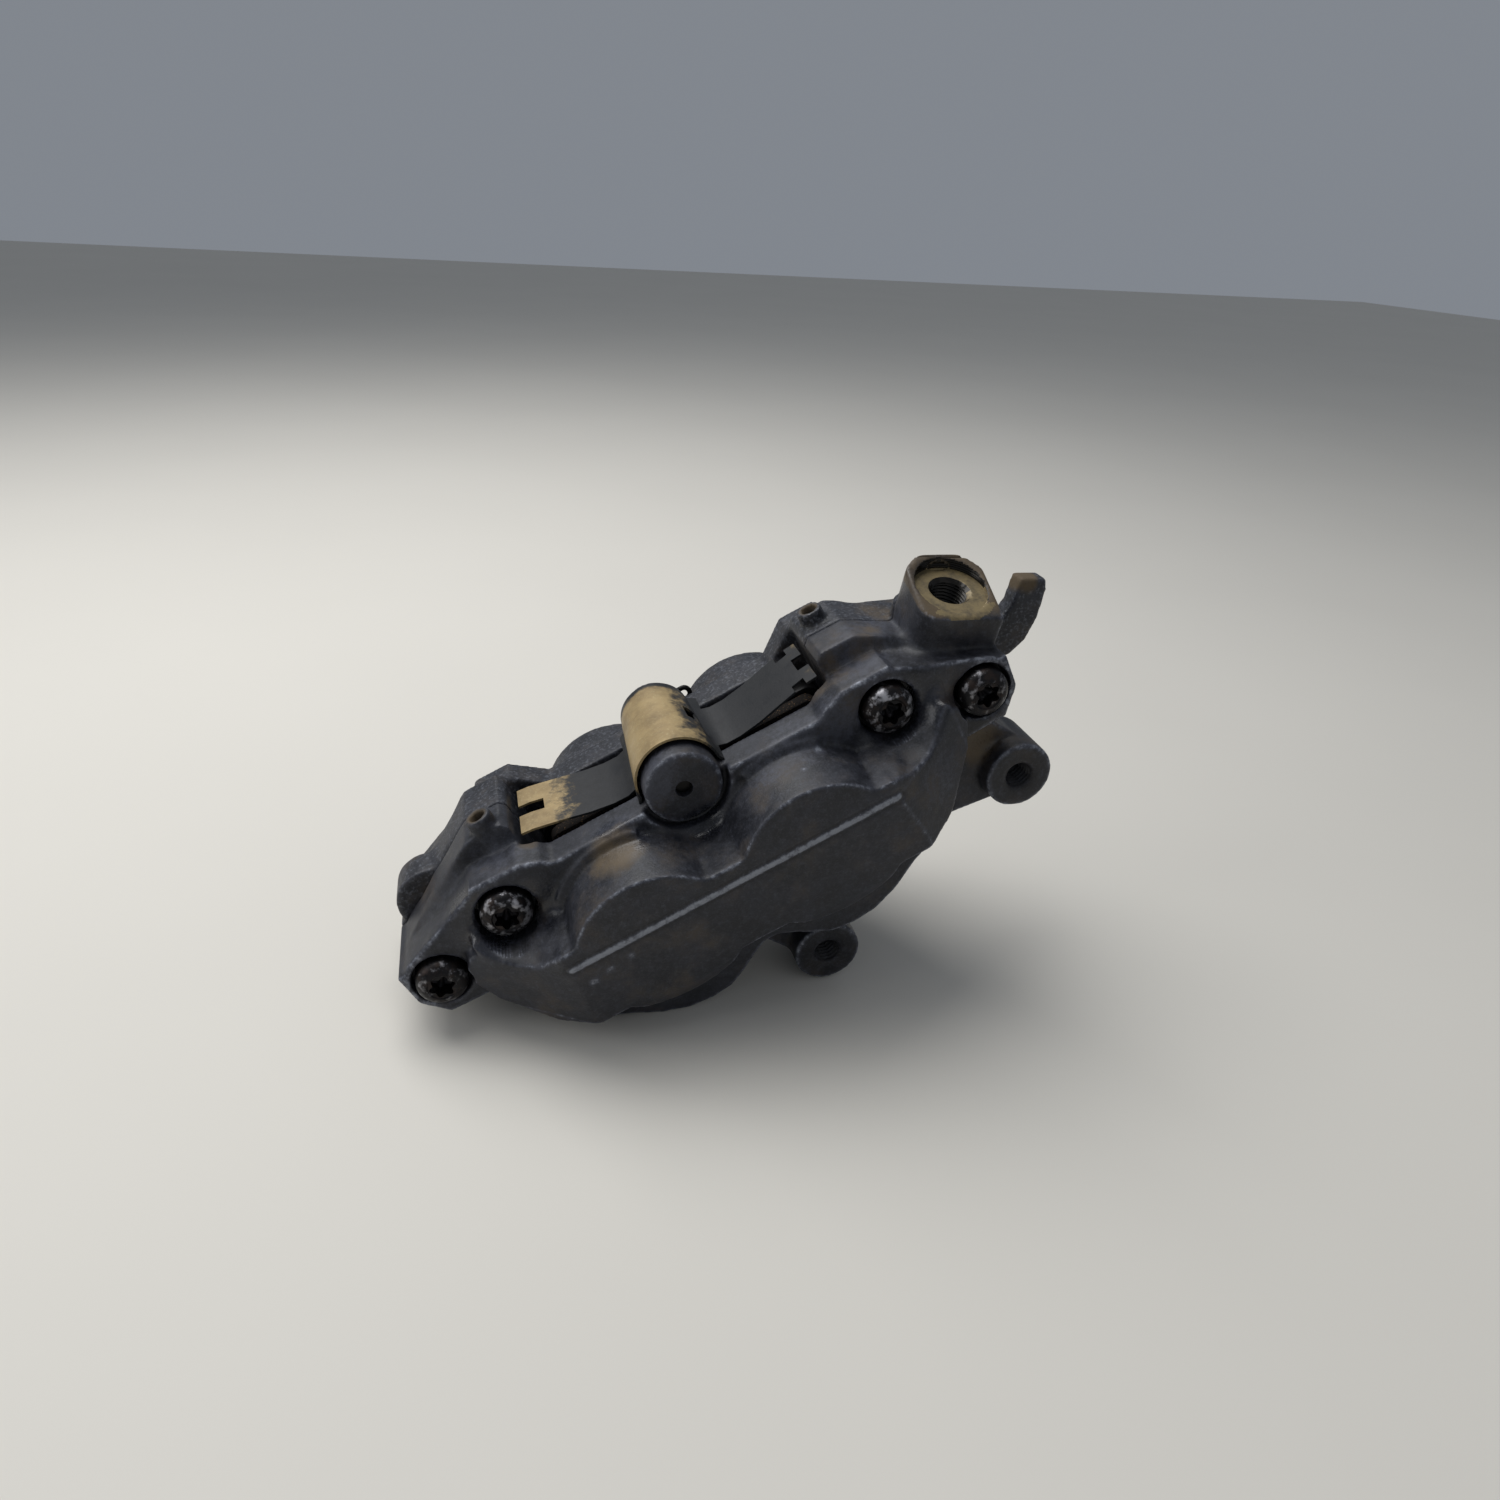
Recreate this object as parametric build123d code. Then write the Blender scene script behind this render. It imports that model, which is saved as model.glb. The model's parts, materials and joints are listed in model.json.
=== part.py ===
from build123d import *
import os
from math import asin, atan2, cos, degrees, hypot, radians, sin

# Four-piston opposed-piston brake caliper in two bolted halves, with pads, no disc fitted.
# Building frame, in millimetres: X along the caliper, Y along the disc axis (outboard is -Y,
# the seam between the halves is Y = 0), Z radially outward, origin on the pad pin's axis.
# place() then turns every piece about Y to the attitude in which the caliper lies on a bench
# and moves the origin to where the lower lug's full thread starts.

# ---- disc and running gaps -------------------------------------------------------------
DISC_R = 160.0
DISC_CENTRE_Z = -168.0
DISC_CLEARANCE = 2.5
SLOT_HALF = 4.5
RUNNING = 0.05

# ---- pistons and bores -------------------------------------------------------------------
PISTON_X = 22.5
PISTON_Z = -26.5
PISTON_R = 18.0
PISTON_LENGTH = 18.5
PISTON_NOSE = 12.2
PISTON_WALL = 3.0
BORE_FLOOR = 34.0
SEAL_SECTION = 2.4
SEAL_DEPTH = 2.6
DUST_SEAL_AT = 14.2
PRESSURE_SEAL_AT = 19.5

# ---- castings ------------------------------------------------------------------------------
HALF_DEPTH = 39.0
EAR_DEPTH = 22.0
WINDOW_DEPTH = 12.5
WINDOW_X = 43.0
LOBE_R = 23.0
LOBE_DRAFT = 4.0
LOWER_EDGE_DEPTH = 27.0
CREASE_Z = -19.5
CREASE_X = 44.0
PANEL_EDGE_Z = -43.0
PANEL_EDGE_DEPTH = 36.0
FLANGE_Z = -1.0
TOWER_Z = 9.0
TOWER_DEPTH = 11.0
BOTTOM_Z = -60.0
PASSAGE_R = 2.0
PASSAGE_DEPTH = 31.4
CROSSOVER = (-64.5, -11.6)
O_RING_R = 4.6
O_RING_SECTION = 1.5

# ---- bridge bolts ---------------------------------------------------------------------------
INNER_BOLT = (52.8, -7.2)
OUTER_BOLT = (76.3, -16.1)
BOLT_R = 4.0
BOLT_HOLE_R = 4.2
HEAD_R = 6.5
HEAD_TOP = 25.0
HEAD_SEAT = 17.0
POCKET_R = 7.4
BOLT_END = -17.0
RECESS_R = 3.2
RECESS_DEPTH = 4.0
INNER_EAR_R = 10.5
OUTER_EAR_R = 9.2
EAR_END_X = 85.0

# ---- pad pin, clip and spring -----------------------------------------------------------------
PIN_R = 2.5
OUTBOARD_BOSS_R = 9.8
INBOARD_BOSS_R = 8.2
PIN_OUTBOARD_END = 20.0
PIN_INBOARD_END = 27.0
CLIP_WIRE_R = 0.7
CLIP_Y = 24.6
SPRING_NEAR_R = 11.2
SPRING_FAR_R = 9.6
SPRING_SHEET = 0.8
SPRING_HALF_WIDTH = 17.5
CAP_FOOT_Z = 0.2
CAP_SKIRT = 2.3
WING_END_X = 42.0
WING_Z = 3.6
WING_HALF_WIDTH = 10.5

# ---- pads -----------------------------------------------------------------------------------
LINING_FACE = 3.0
LINING_THICKNESS = 4.5
BACKING_THICKNESS = 4.0
SHIM_THICKNESS = 0.4
PAD_X = 42.3
PAD_TOP = -8.5
PAD_BOTTOM = -46.5
PAD_TRAVEL = 2.6

# ---- lugs, inlet port, locating finger and posts ---------------------------------------------
UPPER_LUG = (77.7, -45.3)
LOWER_LUG = (10.9, -68.8)
LUG_FACE = 23.0
LUG_BACK = 5.0
LUG_R = 9.2
ARM_FACE = 17.0
THREAD_R = 3.4
THREAD_MOUTH_R = 4.3
THREAD_CHAMFER = 0.9
INLET_SEAT = (80.7, -8.4, 6.1)
INLET_LEAN_ALONG = 27.6
INLET_LEAN_OUT = 17.6
INLET_SEAT_R = 9.3
INLET_BORE_R = 4.5
INLET_BORE_LENGTH = 10.0
INLET_HALF_WIDTH = 10.8
INLET_FRONT = 11.2
INLET_BACK = 10.8
INLET_RISE = 3.6
INLET_ROOT = 14.0
POST_X = 48.5
POST_R = 3.4
POST_HOLE_R = 1.9
POST_TOP = 12.8
OUTBOARD_POST_DEPTH = 8.0
INBOARD_POST_DEPTH = 6.0
FINGER_FRONT = 2.0
FINGER_BACK = 7.8

# ---- bleed screw -------------------------------------------------------------------------------
BLEED_BOSS_R = 7.0
BLEED_BOSS_DEPTH = 27.0
BLEED_R = 4.0
BLEED_SEAT = 13.0
BLEED_HEX_R = 4.7
BLEED_NIPPLE_R = 3.0
BLEED_TIP = 38.0
BLEED_CAP_R = 4.2

CORNER = (-49.9, -47.4)
LUG_RUN = LOWER_LUG[0] - CORNER[0]
LUG_DROP = CORNER[1] - LOWER_LUG[1]
REST_TILT = degrees(atan2(LUG_DROP, LUG_RUN) + asin(LUG_R / hypot(LUG_RUN, LUG_DROP)))


# ---- helpers --------------------------------------------------------------------------------
def slab(sketch, near, far, taper=0):
    """Extrude a sketch drawn in X and Z from depth near to depth far on the outboard side."""
    return extrude(Plane.XZ.offset(near) * sketch, amount=far - near, taper=taper)


def disc_at(centre, radius):
    """A circle in a sketch, at centre (x, z)."""
    return Pos(*centre) * Circle(radius)


def drum(centre, radius, near, far):
    """A cylinder along Y at centre (x, z), between two depths."""
    return slab(disc_at(centre, radius), near, far)


def outline(points):
    return make_face(Polyline(*points, close=True))


def mirrored_pair(shape):
    return shape + mirror(shape, about=Plane.YZ)


def inboard(shape):
    return mirror(shape, about=Plane.XZ)


def keep_behind(shape, plane):
    """Keep the part of shape on the negative side of plane."""
    return split(shape, bisect_by=plane, keep=Keep.BOTTOM)


def place(shape):
    """Turn the caliper to its lying attitude about the start of the lower lug's full thread."""
    lug = Pos(-LOWER_LUG[0], LUG_FACE - THREAD_CHAMFER, -LOWER_LUG[1])
    return Rot(0, -REST_TILT, 0) * lug * shape


# ---- the castings' common shape, drawn on the outboard side ---------------------------------
def lower_outline():
    """Two lobes with a shallow arch between them, as wide as the lower panel's corners."""
    right = [(71.0, -17.0), (67.0, -27.0), (56.3, -38.3), (-CORNER[0], CORNER[1]), (43.0, -50.8)]
    right += [(35.2, -56.2), (28.0, -59.3), (21.3, BOTTOM_Z), (15.6, -59.3), (10.6, -56.6)]
    right += [(5.9, -53.2), (2.0, -51.0)]
    left = [(-x, z) for x, z in reversed(right)]
    top = [(-60.0, -8.0), (-36.0, FLANGE_Z), (36.0, FLANGE_Z), (60.0, -8.0)]
    return outline(right + left + top)


def core(block):
    """The body outside the pad window: flange, lower body, front block and piston housings."""
    body = slab(lower_outline(), WINDOW_DEPTH, LOWER_EDGE_DEPTH)
    body -= slab(outline([(-90, -14), (90, -14), (90, 10), (-90, 10)]), EAR_DEPTH, HALF_DEPTH)
    body += slab(outline([(-9, -40), (9, -40), (9, -14.3), (-9, -14.3)]), WINDOW_DEPTH, HALF_DEPTH)
    body += slab(outline([(-x, z) for x, z in reversed(block)] + block), WINDOW_DEPTH, HALF_DEPTH)
    for x in (-PISTON_X, PISTON_X):
        body += slab(disc_at((x, PISTON_Z), LOBE_R), WINDOW_DEPTH, HALF_DEPTH, taper=LOBE_DRAFT)
    return body


def ear():
    """The ear around one end's two bridge bolts, with its outer lower corner cut off."""
    shape = make_hull((disc_at(INNER_BOLT, INNER_EAR_R) + disc_at(OUTER_BOLT, OUTER_EAR_R)).edges())
    web = [(WINDOW_X, FLANGE_Z), (WINDOW_X, -47.0), (52.0, -47.0), (67.0, -27.0), (80.0, -26.5)]
    web += [(EAR_END_X, -19.5), (EAR_END_X, -10.0), (70.0, -8.0)]
    return (shape + outline(web)) & (Pos(EAR_END_X - 60, -30) * Rectangle(120, 120))


def tower():
    """The bridge's raised block at the seam, beside the pad window."""
    crest = [(54.0, TOWER_Z), (67.0, 1.0), (80.0, -7.5), (80.0, -20.0)]
    return outline([(41.8, -20.0), (41.8, 6.0), (44.5, TOWER_Z)] + crest)


def half_blank(body, tower_depth, boss_r, shoulder):
    """One half before drilling: its body with ears, towers, shoulders and pin boss added."""
    body += mirrored_pair(slab(ear(), 0, EAR_DEPTH))
    body += mirrored_pair(slab(tower(), 0, tower_depth))
    body += mirrored_pair(slab(outline(shoulder), tower_depth - 1, EAR_DEPTH))
    body += drum((0, 0), boss_r, WINDOW_DEPTH, EAR_DEPTH)
    body += slab(outline([(-9, 0), (9, 0), (11, -16), (-11, -16)]), WINDOW_DEPTH, EAR_DEPTH - 2)
    return body


def disc_path():
    """The space swept by the disc between the halves."""
    return drum((0, DISC_CENTRE_Z), DISC_R + DISC_CLEARANCE, -SLOT_HALF, SLOT_HALF)


def drilling(start, end, radius=1.5):
    """A straight drilling between two points."""
    along = Vector(end) - Vector(start)
    return extrude(Plane(start, z_dir=along) * Circle(radius), amount=along.length)


def hollows():
    """Pad window, disc path, piston bores, seal grooves and fluid passages."""
    window = outline([(-WINDOW_X, -70), (WINDOW_X, -70), (WINDOW_X, 20), (-WINDOW_X, 20)])
    cut = slab(window, -1, WINDOW_DEPTH) + disc_path()
    for x in (-PISTON_X, PISTON_X):
        cut += drum((x, PISTON_Z), PISTON_R + RUNNING, WINDOW_DEPTH - 1, BORE_FLOOR)
        for groove in (DUST_SEAL_AT, PRESSURE_SEAL_AT):
            cut += drum((x, PISTON_Z), PISTON_R + SEAL_DEPTH, groove, groove + SEAL_SECTION)
    bore_ends = [(x, -PASSAGE_DEPTH, PISTON_Z) for x in (-PISTON_X, PISTON_X)]
    cut += drilling(*bore_ends, PASSAGE_R)
    cut += drum(CROSSOVER, PASSAGE_R, -1, BLEED_SEAT)
    bore_edge = (-PISTON_X - 12, -PASSAGE_DEPTH, PISTON_Z)
    return cut + drilling(bore_edge, (CROSSOVER[0], 1.5 - BLEED_SEAT, CROSSOVER[1]))


# ---- inlet, posts and lugs --------------------------------------------------------------------
def inlet_plane():
    """The inlet's sealing seat, leaning outboard and towards the caliper's end."""
    along, out = radians(INLET_LEAN_ALONG), radians(INLET_LEAN_OUT)
    normal = (sin(along) * cos(out), -sin(out), cos(along) * cos(out))
    return Plane(INLET_SEAT, x_dir=(cos(along), 0, -sin(along)), z_dir=normal)


def inlet_boss(keep):
    """The part of the square, round-cornered inlet boss on one side of the seam."""
    length = INLET_FRONT + INLET_BACK
    block = RectangleRounded(2 * INLET_HALF_WIDTH, length, 5.0)
    block += Pos(INLET_HALF_WIDTH / 2, -length / 4) * Rectangle(INLET_HALF_WIDTH, length / 2)
    middle = (INLET_BACK - INLET_FRONT) / 2
    boss = inlet_plane() * Pos(0, middle, -INLET_ROOT) * extrude(block, amount=INLET_ROOT + 6)
    rise = Vector(0, length, INLET_RISE)
    top = inlet_plane().from_local_coords(Vector(0, -INLET_FRONT, 0.2))
    lid = inlet_plane().from_local_coords(Vector(0, -INLET_FRONT, 0.2) + rise)
    across = inlet_plane().x_dir
    boss = keep_behind(boss, Plane(top, z_dir=across.cross(lid - top)))
    return split(boss, bisect_by=Plane((0, 0, 0), z_dir=(0, 1, 0)), keep=keep)


def inlet_hollow():
    """Sealing seat and threaded bore of the inlet."""
    seat = inlet_plane() * Pos(0, 0, 4) * Cylinder(INLET_SEAT_R, 8)
    middle = Pos(0, 0, -INLET_BORE_LENGTH / 2)
    return seat + inlet_plane() * middle * Cylinder(INLET_BORE_R, INLET_BORE_LENGTH)


def post(x, y, radius, bottom):
    """A short round post, or the hole in it, standing on a tower."""
    return Pos(x, y, (POST_TOP + bottom) / 2) * Cylinder(radius, POST_TOP - bottom)


def lug_arms():
    """Webs that carry the two threaded lugs, clear of the disc."""
    root = disc_at((60, -44), 7) + disc_at((68, -26), 6) + disc_at(UPPER_LUG, LUG_R - 1)
    arms = slab(make_hull(root.edges()), LUG_BACK, ARM_FACE)
    side = LUG_R - 1
    x, z = LOWER_LUG
    lower = outline([(-8, -50), (28, -50), (x + side, z), (x - side, z)])
    return arms + slab(lower, WINDOW_DEPTH + 0.5, ARM_FACE)


# ---- outboard half ------------------------------------------------------------------------------
def facets(body):
    """Lower panel, bottom bevel and end bevels of the outboard face, as flat cuts."""
    panel = Vector(0, CREASE_Z - PANEL_EDGE_Z, HALF_DEPTH - PANEL_EDGE_DEPTH)
    body = keep_behind(body, Plane((0, -HALF_DEPTH, CREASE_Z), z_dir=panel * -1))
    drop = PANEL_EDGE_DEPTH - LOWER_EDGE_DEPTH
    bevel = Vector(0, BOTTOM_Z - PANEL_EDGE_Z, -drop)
    body = keep_behind(body, Plane((0, -PANEL_EDGE_DEPTH, PANEL_EDGE_Z), z_dir=bevel))
    for side in (1, -1):
        run = Vector(side * 25.0, HALF_DEPTH - 24.5, -4.0)
        edge = Vector(side * 4.0, 3.0, PANEL_EDGE_Z - CREASE_Z)
        normal = run.cross(edge)
        normal = normal * (-1 if normal.Y > 0 else 1)
        body = keep_behind(body, Plane((side * CREASE_X, -HALF_DEPTH, CREASE_Z), z_dir=normal))
    return body


def make_outboard_half():
    shoulder = [(34.0, -3.0), (39.0, 1.0), (44.0, 3.0), (57.0, 3.3), (62.0, -6.0)]
    wing = [(44.0, -14.5), (48.0, -17.0), (56.0, -18.2), (61.0, -14.6), (66.0, -10.7)]
    wing += [(67.4, -14.0), (67.0, -27.0), (56.3, -38.0), (46.5, -41.0)]
    body = half_blank(facets(core(wing)), TOWER_DEPTH, OUTBOARD_BOSS_R, shoulder)
    body += inlet_boss(Keep.BOTTOM)
    body += post(-POST_X, -OUTBOARD_POST_DEPTH, POST_R, 2.0)
    body -= hollows()
    body += lug_arms()
    for centre in (UPPER_LUG, LOWER_LUG):
        body += drum(centre, LUG_R, LUG_BACK, LUG_FACE)
        body -= drum(centre, THREAD_R, LUG_BACK - 1, LUG_FACE + 1)
        mouth = Plane((centre[0], -LUG_FACE, centre[1]), z_dir=(0, 1, 0))
        body -= mouth * Pos(0, 0, THREAD_CHAMFER / 2) * Cone(THREAD_MOUTH_R, THREAD_R, THREAD_CHAMFER)
    for x, z in (INNER_BOLT, OUTER_BOLT):
        for spot in ((x, z), (-x, z)):
            body -= drum(spot, BOLT_HOLE_R, -1, HEAD_TOP)
            body -= drum(spot, POCKET_R, HEAD_SEAT, HALF_DEPTH)
    body -= drum((0, 0), PIN_R + 0.1, 0, PIN_OUTBOARD_END + 0.3)
    body -= drum((0, 0), PIN_R - 0.5, 0, HALF_DEPTH)
    body -= post(-POST_X, -OUTBOARD_POST_DEPTH, POST_HOLE_R, 7.0)
    bore_end = inlet_plane().from_local_coords(Vector(0, 0, 0.5 - INLET_BORE_LENGTH))
    body -= drilling(bore_end, (PISTON_X + 15, -PASSAGE_DEPTH, PISTON_Z - 7.5))
    return body - inlet_hollow()


# ---- inboard half -------------------------------------------------------------------------------
def finger():
    """A flat locating finger beside the inlet boss."""
    shape = [(84.0, -24.0), (84.0, -13.0), (95.0, -14.8), (98.3, -12.9), (102.9, -7.2)]
    shape += [(109.3, -10.8), (108.6, -13.8), (104.0, -20.5), (99.0, -25.0), (93.0, -27.0)]
    return slab(outline(shape), -FINGER_BACK, -FINGER_FRONT)


def make_inboard_half():
    shoulder = [(31.0, -3.0), (42.0, 6.5), (52.0, 6.5), (62.0, -6.0)]
    block = [(44.0, -16.5), (46.0, -40.0)]
    shell = half_blank(core(block), TOWER_DEPTH + 3.5, INBOARD_BOSS_R, shoulder)
    shell += drum((-73.4, -8.6), 10.0, 0, 10.0)
    shell += drum(CROSSOVER, BLEED_BOSS_R, EAR_DEPTH - 1, BLEED_BOSS_DEPTH)
    body = inboard(shell - hollows())
    body += inlet_boss(Keep.TOP) + finger()
    right_post = post(POST_X, INBOARD_POST_DEPTH, POST_R, 2.0)
    body += split(right_post, bisect_by=Plane.XZ, keep=Keep.BOTTOM)
    for x, z in (INNER_BOLT, OUTER_BOLT):
        for spot in ((x, z), (-x, z)):
            body -= drum(spot, BOLT_R + 0.02, BOLT_END - 1, 1)
    body -= drum((0, 0), PIN_R + 0.1, -EAR_DEPTH - 1, 0)
    body -= drum(CROSSOVER, BLEED_R + RUNNING, -BLEED_BOSS_DEPTH - 1, -BLEED_SEAT)
    body -= drum(CROSSOVER, O_RING_R + 0.1, -O_RING_SECTION, 1)
    body -= post(POST_X, INBOARD_POST_DEPTH, POST_HOLE_R, 7.0)
    return body - inlet_hollow()


# ---- fasteners, pin, clip and spring ------------------------------------------------------------
def star(radius, depth_from, depth_to, centre):
    """A six-lobed driver recess."""
    recess = drum(centre, radius * 0.82, depth_from, depth_to)
    for turn in range(6):
        angle = radians(60 * turn)
        lobe = (centre[0] + radius * 0.8 * cos(angle), centre[1] + radius * 0.8 * sin(angle))
        recess += drum(lobe, radius * 0.2, depth_from, depth_to)
    return recess


def make_bridge_bolts():
    bolts = []
    for x, z in (INNER_BOLT, OUTER_BOLT):
        for spot in ((x, z), (-x, z)):
            bolt = drum(spot, HEAD_R, HEAD_SEAT, HEAD_TOP) + drum(spot, BOLT_R, BOLT_END, HEAD_SEAT)
            bolts.append(bolt - star(RECESS_R, HEAD_TOP - RECESS_DEPTH, HEAD_TOP + 1, spot))
    return Compound(bolts)


def make_pad_pin():
    pin = drum((0, 0), PIN_R, -PIN_INBOARD_END, PIN_OUTBOARD_END)
    cross = Pos(0, CLIP_Y, 0) * Rot(0, 90, 0) * Cylinder(CLIP_WIRE_R + 0.15, 4 * PIN_R)
    return pin - cross


def make_pin_clip():
    """A hairpin clip, one leg through the pin and one over it."""
    over = -PIN_R - CLIP_WIRE_R - 0.3
    route = [(-7, CLIP_Y, 0), (11, CLIP_Y, 0), (11, CLIP_Y, over), (-6, CLIP_Y, over)]
    path = FilletPolyline(*route, radius=-over * 0.45)
    return sweep(Plane(route[0], z_dir=(1, 0, 0)) * Circle(CLIP_WIRE_R), path=path)


def spring_cone(shrink):
    """A cone along Y, wide at its outboard end."""
    near, far = SPRING_NEAR_R - shrink, SPRING_FAR_R - shrink
    return Rot(-90, 0, 0) * Cone(near, far, 2 * SPRING_HALF_WIDTH)


def make_pad_spring():
    """A sheet spring: a tapered half-round cap over the pin, with a wing over each pad end."""
    reach = Pos(0, 0, 20 + CAP_FOOT_Z) * Box(40, 40, 40)
    reach += Box(40, 2 * WING_HALF_WIDTH, 2 * CAP_SKIRT)
    cap = (spring_cone(0) - spring_cone(SPRING_SHEET)) & reach
    foot = SPRING_FAR_R - 0.6
    top = [(foot, -1.5), (18.0, -1.2), (30.0, 1.2), (WING_END_X, WING_Z)]
    under = [(x, z - SPRING_SHEET) for x, z in reversed(top)]
    wing = slab(outline(top + under), -WING_HALF_WIDTH, WING_HALF_WIDTH)
    notch = slab(outline([(36.0, -2), (43.0, -2), (43.0, 6), (36.0, 6)]), -3.0, 3.0)
    return cap + mirrored_pair(wing - notch)


# ---- pads ------------------------------------------------------------------------------------------
def plate(half_x, bottom, top, near, far, corner=4.0):
    middle = (0, (bottom + top) / 2)
    return slab(Pos(*middle) * RectangleRounded(2 * half_x, top - bottom, corner), near, far)


def make_backing():
    near = LINING_FACE + LINING_THICKNESS
    far = near + BACKING_THICKNESS
    body = plate(PAD_X, PAD_BOTTOM, PAD_TOP, near, far)
    body += slab(outline([(-7.6, 3), (-5, 6), (5, 6), (7.6, 3), (9, -10), (-9, -10)]), near, far)
    return body - drum((0, 0), PIN_R + 0.4, near - 1, far + 1)


def make_lining():
    near, far = LINING_FACE, LINING_FACE + LINING_THICKNESS
    body = plate(PAD_X - 2, PAD_BOTTOM + 1, PAD_TOP - 1.2, near, far, 3.0)
    return body - slab(Pos(0, PISTON_Z) * Rectangle(2.0, 60), near - 1, near + 3.0)


def make_shim():
    near = LINING_FACE + LINING_THICKNESS + BACKING_THICKNESS
    return plate(PAD_X - 5, PAD_BOTTOM + 3, PAD_TOP - 3, near, near + SHIM_THICKNESS)


# ---- pistons and seals --------------------------------------------------------------------------
def make_piston(x):
    """A cup with its open end against the pad."""
    end = PISTON_NOSE + PISTON_LENGTH
    cup = drum((x, PISTON_Z), PISTON_R, PISTON_NOSE, end)
    return cup - drum((x, PISTON_Z), PISTON_R - PISTON_WALL, PISTON_NOSE - 1, end - PISTON_WALL)


def make_seals(groove):
    rings = []
    for x in (-PISTON_X, PISTON_X):
        near, far = groove + 0.05, groove + SEAL_SECTION - 0.05
        ring = drum((x, PISTON_Z), PISTON_R + SEAL_DEPTH - 0.05, near, far)
        rings.append(ring - drum((x, PISTON_Z), PISTON_R + RUNNING, near - 1, far + 1))
    return Compound(rings)


def make_crossover_ring():
    ring = drum(CROSSOVER, O_RING_R, -O_RING_SECTION, 0)
    return ring - drum(CROSSOVER, PASSAGE_R + 0.4, -O_RING_SECTION - 1, 1)


# ---- bleed screw -------------------------------------------------------------------------------
def make_bleed_screw():
    stem = drum(CROSSOVER, BLEED_R, BLEED_SEAT + 0.1, BLEED_BOSS_DEPTH + 0.5)
    hexagon = Pos(*CROSSOVER) * RegularPolygon(BLEED_HEX_R, 6)
    stem += slab(hexagon, BLEED_BOSS_DEPTH + 0.3, BLEED_BOSS_DEPTH + 5)
    stem += drum(CROSSOVER, BLEED_NIPPLE_R - 0.6, BLEED_BOSS_DEPTH + 4, BLEED_TIP)
    stem += drum(CROSSOVER, BLEED_NIPPLE_R, BLEED_TIP - 3.5, BLEED_TIP - 1)
    return stem - drum(CROSSOVER, 1.0, BLEED_SEAT + 2, BLEED_TIP + 1)


def make_bleed_cap():
    near = BLEED_BOSS_DEPTH + 5.2
    cap = drum(CROSSOVER, BLEED_CAP_R, near, BLEED_TIP + 1)
    return cap - drum(CROSSOVER, BLEED_NIPPLE_R + 0.02, near - 1, BLEED_TIP + 0.02)


PARTS = {
    "outboard_half": make_outboard_half(),
    "inboard_half": make_inboard_half(),
    "bridge_bolts": make_bridge_bolts(),
    "pad_pin": make_pad_pin(),
    "pin_clip": make_pin_clip(),
    "pad_spring": make_pad_spring(),
    "outboard_backing": make_backing(),
    "outboard_lining": make_lining(),
    "outboard_shim": make_shim(),
    "inboard_backing": inboard(make_backing()),
    "inboard_lining": inboard(make_lining()),
    "inboard_shim": inboard(make_shim()),
    "outboard_piston_left": make_piston(-PISTON_X),
    "outboard_piston_right": make_piston(PISTON_X),
    "inboard_piston_left": inboard(make_piston(-PISTON_X)),
    "inboard_piston_right": inboard(make_piston(PISTON_X)),
    "outboard_pressure_seals": make_seals(PRESSURE_SEAL_AT),
    "inboard_pressure_seals": inboard(make_seals(PRESSURE_SEAL_AT)),
    "outboard_dust_seals": make_seals(DUST_SEAL_AT),
    "inboard_dust_seals": inboard(make_seals(DUST_SEAL_AT)),
    "crossover_ring": make_crossover_ring(),
    "bleed_screw": inboard(make_bleed_screw()),
    "bleed_cap": inboard(make_bleed_cap()),
}

if __name__ == "__main__":
    os.makedirs("parts", exist_ok=True)
    for name, shape in PARTS.items():
        export_step(place(shape), f"parts/{name}.step")
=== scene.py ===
"""Opposed-piston brake caliper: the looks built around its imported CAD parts."""

import json
import math

import bmesh
import bpy
import numpy as np
from mathutils import Matrix, Vector


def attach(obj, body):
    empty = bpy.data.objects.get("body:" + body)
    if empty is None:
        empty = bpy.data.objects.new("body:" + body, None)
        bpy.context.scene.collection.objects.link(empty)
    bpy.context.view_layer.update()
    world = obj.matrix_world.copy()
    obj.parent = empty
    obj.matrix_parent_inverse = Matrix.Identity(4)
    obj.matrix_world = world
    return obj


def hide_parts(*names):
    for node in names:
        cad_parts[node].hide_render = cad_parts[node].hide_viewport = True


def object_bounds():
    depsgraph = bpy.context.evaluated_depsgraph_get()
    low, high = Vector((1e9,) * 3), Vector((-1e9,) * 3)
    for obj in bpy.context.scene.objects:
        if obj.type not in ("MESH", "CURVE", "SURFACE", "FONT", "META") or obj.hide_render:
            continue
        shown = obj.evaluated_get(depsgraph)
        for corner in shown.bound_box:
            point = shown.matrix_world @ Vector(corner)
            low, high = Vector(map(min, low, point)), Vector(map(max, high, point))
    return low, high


bl_info = {
    "name": "Brake caliper",
    "version": (1, 0, 0),
    "blender": (4, 5, 0),
    "location": "View3D > Sidebar > Caliper",
    "description": "Builds a cast brake caliper with its bolts, spring, pads and pistons",
    "category": "Add Mesh",
}

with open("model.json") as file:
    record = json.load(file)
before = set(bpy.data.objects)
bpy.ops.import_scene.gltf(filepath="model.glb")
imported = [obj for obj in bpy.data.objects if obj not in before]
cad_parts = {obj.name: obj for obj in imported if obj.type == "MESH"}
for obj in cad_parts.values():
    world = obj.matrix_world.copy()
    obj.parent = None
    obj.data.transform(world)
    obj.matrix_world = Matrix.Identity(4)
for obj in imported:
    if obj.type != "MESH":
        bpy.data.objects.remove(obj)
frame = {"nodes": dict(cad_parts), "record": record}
CAD_LOW, CAD_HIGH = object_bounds()

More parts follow.
